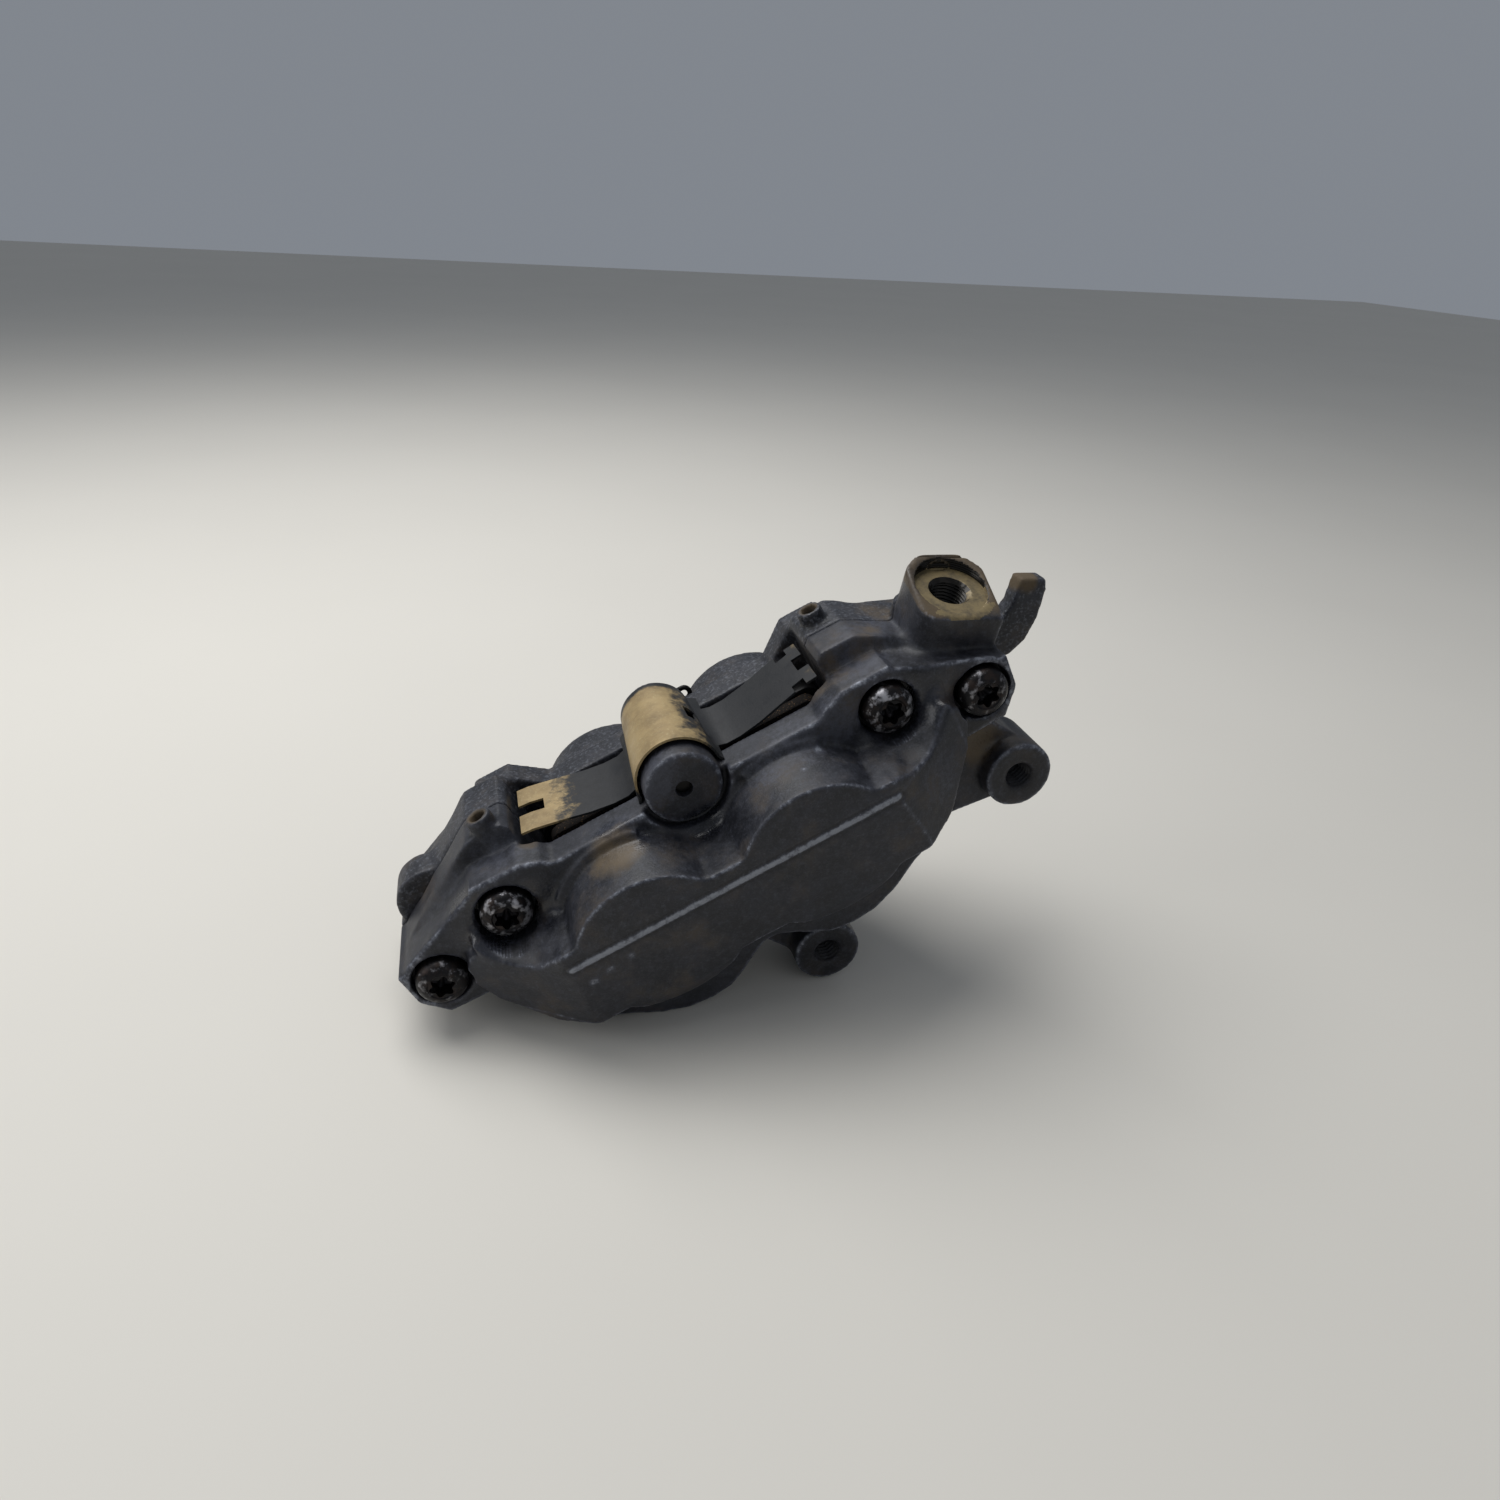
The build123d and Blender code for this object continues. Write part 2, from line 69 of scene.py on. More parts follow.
# The building frame is in millimetres: X along the caliper, Y along the disc axis with the
# outboard side at -Y and the seam at 0, Z radially outward, origin on the pad pin's axis.
POST_AXIS = next(m for m in frame["record"]["mounts"] if m["name"] == "left_post_hole")["axis"]
TILT = math.atan2(-POST_AXIS[0], POST_AXIS[2])
ROW_ORIGIN = Vector((10.9, -22.1, -68.8))
PLACE = Matrix.Rotation(-TILT, 4, "Y") @ Matrix.Scale(0.001, 4) @ Matrix.Translation(-ROW_ORIGIN)
UNPLACE = PLACE.inverted()
TURN = PLACE.to_3x3().normalized()

# Centres of features as X and Z, posts as X and Y, and depths from the seam.
INNER_BOLT = (52.8, -7.2)
OUTER_BOLT = (76.3, -16.1)
UPPER_LUG = (77.7, -45.3)
LOWER_LUG = (10.9, -68.8)
LUG_FACE = 23.0
LUG_BACK = 5.0
SEAT_RADIUS = 9.3
INLET_SEAT = Vector((80.7, -8.4, 6.1))
INLET_AXIS = Vector((0.4416, -0.3024, 0.8447)).normalized()
POSTS = ((-48.5, -8.0), (48.5, 6.0))
BOLT_SEAT = 17.0
BOSS_FACE = 22.0


def linear(code):
    """An sRGB hex colour as linear RGB with alpha."""
    parts = [int(code[i : i + 2], 16) / 255 for i in (1, 3, 5)]
    return [c / 12.92 if c <= 0.04045 else ((c + 0.055) / 1.055) ** 2.4 for c in parts] + [1.0]


def colour(name, description, code):
    """A colour property whose default is an sRGB hex value."""
    return bpy.props.FloatVectorProperty(
        name=name, description=description, default=linear(code), size=4, min=0, max=1, subtype="COLOR"
    )


def millimetres(name, description, value, low=0.01, high=500.0):
    """A size property in millimetres."""
    return bpy.props.FloatProperty(name=name, description=description, default=value, min=low, max=high)


class CaliperSizes(bpy.types.PropertyGroup):
    grid: millimetres("Casting grid", "Spacing of the castings' surface points in mm", 0.56)
    lug_pitch: millimetres("Lug thread pitch", "Pitch of the lugs' threads in mm", 1.25)
    inlet_pitch: millimetres("Inlet thread pitch", "Pitch of the inlet's thread in mm", 1.0)
    head_radius: millimetres("Bolt head radius", "Radius of the bridge bolts' heads in mm", 6.5)
    recess_radius: millimetres("Driver recess radius", "Radius of the six-lobed recess in mm", 3.3)
    sheet: millimetres("Spring sheet", "Thickness of the pad spring's sheet in mm", 0.6)


class CaliperColours(bpy.types.PropertyGroup):
    charcoal: colour("Charcoal", "Enamel on the castings", "#17181d")
    # Faded charcoal also paints light on upward-facing tops, through the pale spots.
    faded: colour("Faded charcoal", "Enamel where it is rubbed and dusty", "#42444d")
    bare: colour("Bare metal", "Aluminium showing along worn edges", "#8e929b")
    dust: colour("Brake dust", "Baked brown dust", "#5b4d38")
    # Soot paints an oily film, and also painted shade in concave creases and on faces turned from the light.
    oil_and_painted_shade: colour("Soot", "Oily black film in hollows", "#0b0b0e")
    seat: colour("Stained seat", "Machined aluminium stained by brake fluid", "#8a7a58")
    steel: colour("Black oxide", "Bridge bolts' finish", "#1b1a1c")
    rubbed: colour("Rubbed steel", "Steel showing on the bolts' rims", "#b3b2b6")
    sheet: colour("Spring sheet", "Heat-browned stainless sheet", "#a38d63")
    floor: colour("Floor", "Plain pale floor", "#d8d4cb")


# ---- mesh helpers -------------------------------------------------------------------------------
def moved(points, matrix):
    """Points as an array, moved by a matrix."""
    m = np.array(matrix)
    return np.asarray(points, float) @ m[:3, :3].T + m[:3, 3]


def aimed(origin, axis):
    """A matrix that puts local Z along an axis of the building frame at an origin."""
    z = Vector(axis).normalized()
    x = Vector((1, 0, 0)) if abs(z.x) < 0.9 else Vector((0, 1, 0))
    y = z.cross(x).normalized()
    return Matrix.Translation(origin) @ Matrix((y.cross(z), y, z)).transposed().to_4x4()


def outward(centre, depth):
    """Local Z towards the outboard side, from a point of X and Z at a depth from the seam."""
    return aimed((centre[0], -depth, centre[1]), (0, -1, 0))


def new_object(name, points, faces):
    """A mesh object from building-frame points, with its faces turned outward."""
    mesh = bpy.data.meshes.new(name)
    mesh.from_pydata(moved(points, PLACE).tolist(), [], faces)
    bm = bmesh.new()
    bm.from_mesh(mesh)
    bmesh.ops.recalc_face_normals(bm, faces=bm.faces)
    bm.to_mesh(mesh)
    bm.free()
    obj = bpy.data.objects.new(name, mesh)
    bpy.context.scene.collection.objects.link(obj)
    return obj


def revolve(profile, steps=72, thread=None):
    """A closed body turned about Z from (radius, height) points, with a helical groove if asked.
    thread is (from height, to height, pitch, depth)."""
    profile = sorted(profile, key=lambda p: p[1]) if thread else profile
    radius = [p[0] for p in profile]
    height = [p[1] for p in profile]
    if thread:
        low, high, pitch, _ = thread
        fine = np.arange(low, high, pitch / 8)
        at = np.unique(np.concatenate([np.array(height) + 1e-6 * np.arange(len(height)), fine]))
        radius = np.interp(at, height, radius)
        height = at
    angle = np.linspace(0, 2 * math.pi, steps, endpoint=False)
    points = []
    for r, h in zip(radius, height):
        ring = np.full(steps, r)
        if thread and low <= h <= high:
            turn = (h / pitch - angle / (2 * math.pi)) % 1.0
            ring = ring + thread[3] * np.clip(1.25 - 2.5 * np.abs(turn - 0.5), 0, 1)
        points.append(np.stack([ring * np.cos(angle), ring * np.sin(angle), np.full(steps, h)], 1))
    points = np.concatenate(points + [[[0, 0, height[0]], [0, 0, height[-1]]]])
    rows = len(height)
    faces = []
    for row in range(rows - 1):
        for k in range(steps):
            n = (k + 1) % steps
            faces.append((row * steps + k, row * steps + n, (row + 1) * steps + n, (row + 1) * steps + k))
    for k in range(steps):
        n = (k + 1) % steps
        faces.append((rows * steps, n, k))
        faces.append((rows * steps + 1, (rows - 1) * steps + k, (rows - 1) * steps + n))
    return points, faces


def prism(outline, near, far):
    """A closed body from an outline of X and Z points between two depths."""
    count = len(outline)
    points = [(x, -depth, z) for depth in (near, far) for x, z in outline]
    faces = [tuple(range(count)), tuple(range(2 * count - 1, count - 1, -1))]
    faces += [(k, (k + 1) % count, count + (k + 1) % count, count + k) for k in range(count)]
    return points, faces


def sector(centre, radius, start, end, near, far):
    """A closed slice of a disc between two angles in degrees and two depths."""
    turns = np.radians(np.linspace(start, end, 40))
    rim = [(centre[0] + radius * math.cos(a), centre[1] + radius * math.sin(a)) for a in turns]
    return prism([centre] + rim, near, far)


def ramp(ridge, foot):
    """A closed wedge that falls from a ridge line to a foot line, both of X, depth and Z, with its
    root sunk in the casting behind and below."""
    root_depth, root_drop, setback, corners = 19.0, 5.0, 0.3, 5
    points, faces = [], []
    for top, low in zip(ridge, foot):
        below = top[2] - root_drop
        root = (low[0], root_depth, low[2]), (top[0], root_depth, below), (top[0], top[1] - setback, below)
        points += [(x, -depth, z) for x, depth, z in (top, low, *root)]
    last = corners * (len(ridge) - 1)
    for start in range(0, last, corners):
        for k in range(corners):
            n = (k + 1) % corners
            faces.append((start + k, start + n, start + corners + n, start + corners + k))
    return points, faces + [tuple(reversed(range(corners))), tuple(range(last, last + corners))]


def joined(bodies):
    """Several (points, faces) bodies as one."""
    points, faces, start = [], [], 0
    for body_points, body_faces in bodies:
        points += [tuple(p) for p in body_points]
        faces += [tuple(i + start for i in face) for face in body_faces]
        start += len(body_points)
    return points, faces


def welded(mesh, flat_angle=None):
    """Joins a CAD mesh's doubled points and, where asked, faces that meet within an angle in degrees."""
    bm = bmesh.new()
    bm.from_mesh(mesh)
    bmesh.ops.remove_doubles(bm, verts=bm.verts, dist=0.002 / 1000.0)
    if flat_angle:
        angle = math.radians(flat_angle)
        bmesh.ops.dissolve_limit(bm, angle_limit=angle, verts=bm.verts, edges=bm.edges)
    bm.to_mesh(mesh)
    bm.free()


def added(target, body):
    """Adds a closed body to an object's mesh."""
    detail = new_object("detail", *body)
    bm = bmesh.new()
    bm.from_mesh(target.data)
    bm.from_mesh(detail.data)
    bm.to_mesh(target.data)
    bm.free()
    bpy.data.objects.remove(detail)


def applied(obj):
    """Bakes an object's modifiers into its mesh."""
    graph = bpy.context.evaluated_depsgraph_get()
    mesh = bpy.data.meshes.new_from_object(obj.evaluated_get(graph))
    obj.modifiers.clear()
    old = obj.data
    obj.data = mesh
    bpy.data.meshes.remove(old)
    return obj


def carve(target, body):
    """Cuts a closed body out of an object."""
    cutter = new_object("cutter", *body)
    cut = target.modifiers.new("cut", "BOOLEAN")
    cut.object, cut.operation, cut.solver = cutter, "DIFFERENCE", "MANIFOLD"
    before = len(target.data.polygons)
    applied(target)
    target.data.materials.clear()
    bpy.data.objects.remove(cutter)
    if not len(target.data.polygons) or len(target.data.polygons) == before:
        raise RuntimeError(f"a cut in {target.name} did nothing")


def finished(obj, material, body, slot, *nodes, sharp=35):
    """Gives a piece its material, smooth shading and body, and hides the CAD nodes it stands for; its slot is
    not used.
    """
    if not obj.data.materials:
        obj.data.materials.append(material)
    obj.data.shade_smooth()
    obj.data.set_sharp_from_angle(angle=math.radians(sharp))
    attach(obj, body)
    if nodes:
        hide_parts(*nodes)
    return obj


def coated(node, material):
    """Gives a CAD part that is already whole its material."""
    materials = frame["nodes"][node].data.materials
    materials.clear()
    materials.append(material)


def set_attribute(mesh, name, values):
    """Stores one number per point, for a material to read."""
    layer = mesh.attributes.get(name) or mesh.attributes.new(name, "FLOAT", "POINT")
    layer.data.foreach_set("value", np.asarray(values, np.float32))


def points_of(mesh):
    """A mesh's points in the building frame, in millimetres."""
    flat = np.zeros(len(mesh.vertices) * 3)
    mesh.vertices.foreach_get("co", flat)
    return moved(flat.reshape(-1, 3), UNPLACE)


def edges_of(mesh):
    """A mesh's edges as pairs of point numbers, and how many edges meet at each point."""
    flat = np.zeros(len(mesh.edges) * 2, np.int32)
    mesh.edges.foreach_get("vertices", flat)
    count = np.bincount(flat, minlength=len(mesh.vertices)).astype(float)
    return flat.reshape(-1, 2), count


def neighbour_mean(values, edges, count):
    """Each point's mean over its neighbours."""
    total = np.zeros_like(values)
    for a, b in ((0, 1), (1, 0)):
        for k in range(values.shape[1]):
            total[:, k] += np.bincount(edges[:, a], values[edges[:, b], k], len(values))
    return total / count[:, None]


def smooth_step(low, high, values):
    """0 below low, 1 above high, and an eased rise between them."""
    t = np.clip((values - low) / (high - low), 0, 1)
    return t * t * (3 - 2 * t)


def spots(points, places, core, edge, amount=1.0):
    """The strongest of several round spots at each point. A place is a centre, a reach and, where
    it differs, an amount; a spot is full within core times its reach and gone at edge times it."""
    strongest = np.zeros(len(points))
    for centre, reach, *own in places:
        fade = smooth_step(core * reach, edge * reach, np.linalg.norm(points - centre, axis=1))
        strongest = np.maximum(strongest, (own[0] if own else amount) * (1 - fade))
    return strongest


def from_inlet(points):
    """Heights above the inlet's seat along its axis, and distances from that axis."""
    axis = np.array(INLET_AXIS)
    local = points - np.array(INLET_SEAT)
    height = local @ axis
    return height, np.linalg.norm(local - height[:, None] * axis, axis=1)


def near_line(points, start, end):
    """Each point's distance from a straight line between two points."""
    start, end = np.array(start, float), np.array(end, float)
    along = end - start
    t = np.clip((points - start) @ along / (along @ along), 0, 1)
    return np.linalg.norm(points - start - t[:, None] * along, axis=1)


# ---- material helpers -----------------------------------------------------------------------------
def add(tree, kind, inputs=None, **settings):
    """Adds a node with its settings; each input is a value or another node's output."""
    made = tree.nodes.new(kind)
    for name, value in settings.items():
        setattr(made, name, value)
    for name, value in (inputs or {}).items():
        if isinstance(value, bpy.types.NodeSocket):
            tree.links.new(value, made.inputs[name])
        else:
            made.inputs[name].default_value = value
    return made


def blank_material(name, **shader):
    """A material with its shader and its object coordinates."""
    material = bpy.data.materials.new(name)
    material.use_nodes = True
    tree = material.node_tree
    tree.nodes.clear()
    surface = add(tree, "ShaderNodeBsdfPrincipled", shader)
    add(tree, "ShaderNodeOutputMaterial", {"Surface": surface.outputs[0]})
    where = add(tree, "ShaderNodeTexCoord").outputs["Object"]
    return material, tree, surface, where


def pattern(tree, where, size, detail=3.0, rough=0.5):
    """Noise whose features are about size millimetres across."""
    inputs = {"Vector": where, "Scale": 1000.0 / size, "Detail": detail, "Roughness": rough}
    return add(tree, "ShaderNodeTexNoise", inputs).outputs["Fac"]


def math_node(tree, operation, a, b=0.0, clamp=False):
    """Two values put together by a Math node."""
    return add(tree, "ShaderNodeMath", {0: a, 1: b}, operation=operation, use_clamp=clamp).outputs[0]


def ranged(tree, value, low, high, to_low=0.0, to_high=1.0):
    """A value taken smoothly from one range to another, and held at its ends."""
    inputs = {"Value": value, "From Min": low, "From Max": high, "To Min": to_low, "To Max": to_high}
    return add(tree, "ShaderNodeMapRange", inputs, interpolation_type="SMOOTHSTEP").outputs[0]


def blended(tree, factor, a, b):
    """The colour a, mixed towards b by a factor."""
    return add(tree, "ShaderNodeMix", {0: factor, 6: a, 7: b}, data_type="RGBA").outputs[2]


def bumped(tree, surface, height, depth, strength=1.0):
    """Bump of a given depth in millimetres from a 0 to 1 height."""
    inputs = {"Height": height, "Distance": depth / 1000.0, "Strength": strength}
    tree.links.new(add(tree, "ShaderNodeBump", inputs).outputs[0], surface.inputs["Normal"])


def attribute(tree, name):
    """The number stored on each point under a name."""
    return add(tree, "ShaderNodeAttribute", attribute_name=name).outputs["Fac"]


# ---- materials -------------------------------------------------------------------------------------
def charcoal_enamel(name, grit, grit_depth, speckle):
    """Charcoal enamel baked on sand-cast aluminium: a dull, slightly blue grey over a cast grain,
    rubbed to pale metal along its edges, with brown brake dust baked on where it gathers."""
    c = bpy.context.scene.caliper_colours
    material, tree, surface, where = blank_material(name, Metallic=0.0, IOR=1.42)
    # Moulding sand is 0.2 to 0.4 mm across. Its grain is drawn up to twice that, so that it shows.
    grain = pattern(tree, where, grit, 4, 0.6)
    mottle = pattern(tree, where, 9.0, 6, 0.65)
    scuff = pattern(tree, where, 1.6, 8, 0.7)
    patch = pattern(tree, where, 22.0, 4, 0.6)
    # Worn edges go first to chalky grey, then to bare metal.
    rub = math_node(tree, "ADD", attribute(tree, "wear"), ranged(tree, scuff, 0.2, 0.8, -0.42, 0.42))
    bare = ranged(tree, rub, 0.45, 1.0, 0.0, 0.85)
    # The pale spots add painted light on upward-facing tops to the chalky wear.
    chalk_and_top_light = math_node(tree, "ADD", rub, attribute(tree, "pale"))
    pale = ranged(tree, chalk_and_top_light, -0.1, 0.75, 0.0, 0.85)
    # Baked dust, thick where it gathers and a faint broken film elsewhere.
    soil = math_node(tree, "ADD", attribute(tree, "dust"), ranged(tree, mottle, 0.3, 0.75, -0.22, 0.22))
    soiled = ranged(tree, soil, 0.15, 0.9, 0.0, 0.85)
    film = ranged(tree, math_node(tree, "MULTIPLY", mottle, patch), 0.22, 0.42, 0.0, 0.35)
    base = blended(tree, ranged(tree, mottle, 0.3, 0.7, 0.0, 0.35), c.charcoal, c.faded)
    base = blended(tree, film, base, c.dust)
    # Painted shade: concave creases and the darkened spots go towards soot, which here also stands for shade.
    base = blended(tree, attribute(tree, "painted_shade_and_oil"), base, c.oil_and_painted_shade)
    base = blended(tree, pale, base, c.faded)
    base = blended(tree, ranged(tree, grain, 0.5, 0.68, 0.0, speckle), base, c.bare)
    base = blended(tree, soiled, base, c.dust)
    base = blended(tree, bare, base, c.bare)
    tree.links.new(base, surface.inputs["Base Color"])
    tree.links.new(ranged(tree, bare, 0.0, 1.0, 0.0, 0.55), surface.inputs["Metallic"])
    rough = ranged(tree, mottle, 0.3, 0.7, 0.42, 0.6)
    dull = math_node(tree, "ADD", rough, ranged(tree, soiled, 0, 1, 0, 0.3))
    wet = math_node(tree, "MULTIPLY", attribute(tree, "wet"), 0.38)
    tree.links.new(math_node(tree, "SUBTRACT", dull, wet, True), surface.inputs["Roughness"])
    height = math_node(tree, "ADD", grain, math_node(tree, "MULTIPLY", mottle, 1.2))
    bumped(tree, surface, height, grit_depth)
    return material


def turned_aluminium(name, code, dark):
    """Aluminium turned to a fine finish and stained by brake fluid: a patchy tan with a soft sheen."""
    material, tree, surface, where = blank_material(name, Metallic=0.35)
    stain = pattern(tree, where, 4.0, 6, 0.65)
    # The tool's feed marks are 0.1 mm apart, and are drawn 0.6 mm across so that they show.
    fine = pattern(tree, where, 0.6, 3)
    base = blended(tree, ranged(tree, stain, 0.35, 0.7), code, dark)
    tree.links.new(base, surface.inputs["Base Color"])
    tree.links.new(ranged(tree, stain, 0.3, 0.7, 0.28, 0.55), surface.inputs["Roughness"])
    bumped(tree, surface, fine, 0.03)
    return material


def black_oxide_steel():
    """Black-oxide alloy steel: near black and oily, rubbed silver on its rims, rust in its recess."""
    c = bpy.context.scene.caliper_colours
    material, tree, surface, where = blank_material("black oxide alloy steel", Metallic=0.75)
    # Handling scratches are about 0.1 mm wide, and are drawn 0.9 mm across so that they show.
    scuff = pattern(tree, where, 0.9, 6, 0.6)
    smear = pattern(tree, where, 2.4, 5, 0.6)
    grime = pattern(tree, where, 3.0, 5, 0.6)
    rub = math_node(tree, "ADD", attribute(tree, "wear"), ranged(tree, smear, 0.3, 0.7, -0.6, 0.5))
    rubbed = ranged(tree, rub, 0.25, 1.0, 0.0, 0.8)
    base = blended(tree, ranged(tree, grime, 0.45, 0.7, 0, 0.6), c.steel, linear("#3a2f29"))
    base = blended(tree, rubbed, base, c.rubbed)
    tree.links.new(base, surface.inputs["Base Color"])
    tree.links.new(ranged(tree, scuff, 0.3, 0.7, 0.32, 0.55), surface.inputs["Roughness"])
    bumped(tree, surface, scuff, 0.05)
    return material


def browned_sheet():
    """Stainless spring sheet: matte tan where dust has baked on, dark grey elsewhere."""
    c = bpy.context.scene.caliper_colours
    material, tree, surface, where = blank_material("browned stainless sheet", Metallic=0.2)
    mottle = pattern(tree, where, 5.0, 8, 0.7)
    # Dust grains are under 0.1 mm, and are drawn as 0.7 mm clumps so that they show.
    fine = pattern(tree, where, 0.7, 5, 0.6)
    broad = pattern(tree, where, 11.0, 5, 0.6)
    tan = math_node(tree, "ADD", attribute(tree, "tan"), ranged(tree, mottle, 0.3, 0.7, -0.35, 0.3))
    tan_mask = ranged(tree, tan, 0.25, 0.8)
    tone = blended(tree, ranged(tree, broad, 0.35, 0.68, 0, 0.7), c.sheet, linear("#6d5a3c"))
    tone = blended(tree, ranged(tree, fine, 0.5, 0.8, 0, 0.35), tone, linear("#c9bb93"))
    base = blended(tree, tan_mask, linear("#151618"), tone)
    tree.links.new(base, surface.inputs["Base Color"])
    tree.links.new(ranged(tree, mottle, 0.3, 0.7, 0.42, 0.62), surface.inputs["Roughness"])
    bumped(tree, surface, fine, 0.05)
    return material


def plain_finish(name, code, metallic, roughness, grain, depth):
    """A metal, coating or rubber with slight mottling over a fine grain. Grains finer than 0.4 mm
    are drawn 0.4 to 0.5 mm across so that they show."""
    material, tree, surface, where = blank_material(name, Metallic=metallic)
    mottle = pattern(tree, where, 6.0, 5)
    darker = [v * 0.55 for v in linear(code)[:3]] + [1.0]
    base = blended(tree, ranged(tree, mottle, 0.3, 0.75, 0, 0.8), linear(code), darker)
    tree.links.new(base, surface.inputs["Base Color"])
    low, high = roughness
    tree.links.new(ranged(tree, mottle, 0.3, 0.7, low, high), surface.inputs["Roughness"])
    bumped(tree, surface, pattern(tree, where, grain, 4), depth)
    return material


def sintered_lining():
    """Sintered copper-iron friction lining: dark brown-grey with bright specks."""
    material, tree, surface, where = blank_material("sintered friction lining", Metallic=0.1)
    # Copper grains are 0.1 to 0.3 mm, and are drawn 0.5 mm across so that they show.
    specks = pattern(tree, where, 0.5, 2)
    broad = pattern(tree, where, 4.0, 5)
    base = blended(tree, broad, linear("#1d1a18"), linear("#332a24"))
    base = blended(tree, ranged(tree, specks, 0.62, 0.7), base, linear("#9a7a58"))
    tree.links.new(base, surface.inputs["Base Color"])
    surface.inputs["Roughness"].default_value = 0.8
    bumped(tree, surface, specks, 0.12)
    return material


def studio_floor():
    """Matte pale studio board: even, with a faint tone change and no pattern."""
    c = bpy.context.scene.caliper_colours
    material, tree, surface, where = blank_material("matte studio board", Roughness=0.75)
    tone = pattern(tree, where, 180.0, 3)
    darker = [v * 0.94 for v in c.floor[:3]] + [1.0]
    tree.links.new(blended(tree, tone, c.floor, darker), surface.inputs["Base Color"])
    return material


# ---- castings ----------------------------------------------------------------------------------------
# Places are X, Y and Z in millimetres, then a reach and, in most lists, an amount from 0 to 1.
# Where the foundry's fillets are widest.
SOFT_ZONES = (
    ((-65, -12, -3), 12), ((65, -14, -3), 10), ((47, -26, -13), 8), ((53, -26, -15), 7.5),
    ((60, -25, -13), 8), ((66, -22, -9), 6.5), ((-47, -26, -13), 8), ((-53, -26, -14), 7.5),
    ((-60, -24, -12), 8), ((-65, -21, -7), 6.5), ((70, -14, 0), 9), ((60, 8, 2), 9),
    ((-62, 8, 0), 12), ((-72, 6, -6), 10), ((0, -26, -14), 9), ((-48, -9, 5), 5),
    ((48, 7, 5), 5), ((70, -14, -36), 8), ((0, 26, -14), 9),
)
# Where brake dust has baked on.
DUST_SPOTS = (
    ((-22, -27, -4.8), 10, 0.74), ((44, -13, 2.5), 8, 0.45), ((56, -8, 3), 9, 0.5),
    ((72, -14, -33), 9, 0.9), ((-48.5, -8, 13), 3.5, 1.1), ((48.5, 6, 13), 3.5, 1.1),
    ((-41, -13, 1), 4, 0.7), ((95, 4, -12), 8, 0.3), ((104, 5, -9), 5, 1.2), ((66, 5, 2), 9, 0.4),
    ((-50, -14, 1), 7, 0.25),
)
# Small knocks that show bare metal.
SCUFFS = (
    ((32.9, -23.7, -6.9), 2.2), ((43.0, -20.5, -14.0), 2.4), ((27.2, -30.5, -5.3), 1.2),
    ((-71, -21, -6.5), 1.4), ((-41, -38, -26), 2.0), ((-36, -38, -25), 2.2), ((-30, -38, -24), 1.8),
    ((-46, -36, -23), 1.5),
)
# Ridge and foot of the slopes that fall from the ears to the bolts, of X, depth and Z.
RIGHT_SLOPE = (
    (
        (42.5, 37.5, -14.8), (46.4, 37.5, -15.5), (50.2, 34.8, -18.4),
        (56, 31.6, -18.2), (60.8, 29, -14.8), (65.8, 26, -11),
    ),
    (
        (42.5, 22, -13.0), (46.5, 22, -13.6), (51.0, 22, -14.6),
        (55.5, 22, -14.4), (59.5, 22, -12.0), (64.0, 22, -8.5),
    ),
)
LEFT_SLOPE = (
    (
        (-41.5, 37.5, -15), (-46, 37.3, -15.5), (-50.3, 35, -17.2),
        (-56.1, 31.8, -15.6), (-60.6, 29.3, -11.6), (-63.8, 27.3, -7.8),
    ),
    (
        (-42, 22, -13.0), (-46.5, 22, -13.6), (-50.5, 22, -14.2),
        (-55.5, 22, -12.8), (-59.5, 22, -9.2), (-62.5, 22, -5.5),
    ),
)
# The raised crease along the panel, and worn edges as start, end, width and amount.
CREASE = ((-43.5, -39.0, -19.5), (44.5, -39.0, -19.6))
EDGES = (
    ((44.5, -39.0, -19.6), (48.4, -36.0, -42.5), 1.0, 0.45),
    ((44.5, -39.0, -19.6), (50.2, -35.5, -18.7), 0.9, 0.42),
    ((50.2, -35.5, -18.7), (56.0, -32.2, -18.2), 0.9, 0.45),
    ((66.2, -26.5, -10.7), (67.0, -25.5, -27.4), 0.8, 0.42),
    ((67.0, -25.5, -27.4), (56.3, -31.4, -38.3), 0.7, 0.35),
    ((-69.4, -24.2, -26.2), (-46.9, -36.7, -41.1), 0.7, 0.5),
)
# Where the enamel is darkened to near black: partly oil gathered and turned black, partly painted shade, as
# on the lugs' faces and the inlet boss's front.
OIL_AND_SHADE_SPOTS = (
    ((77.7, -23, -45.3), 11, 0.8), ((10.9, -23, -68.8), 12, 0.8), ((84, -21, -2), 8, 0.6),
    ((72, -21, -25), 8, 0.8), ((0, -18, -11), 5, 0.6), ((0, -24, -14), 6, 0.45),
    ((-50, -22, -14), 9, 0.35), ((58, -22, -12), 9, 0.35), ((-76, -22, -16), 10, 0.3),
    ((76, -22, -16), 11, 0.4), ((0, -22, 0), 5, 0.4),
)
# Where the enamel is paler: partly chalky wear, partly painted light on upward-facing tops.
CHALK_AND_TOP_LIGHT_SPOTS = (
    ((52, -14, 3), 9, 0.55), ((56, -9, 5), 9, 0.5), ((30, -22, -3), 9, 0.4), ((40, -22, -3), 8, 0.5),
    ((20, -26, -4), 7, 0.35), ((57, -31, -27), 9, 0.22), ((-6, -22, 5), 7, 0.6), ((-3, -22, 8), 6, 0.5),
    ((-48, -14, 2), 9, 0.4), ((-20, -22, -3), 8, 0.3), ((64, -3, 6), 8, 0.4),
)
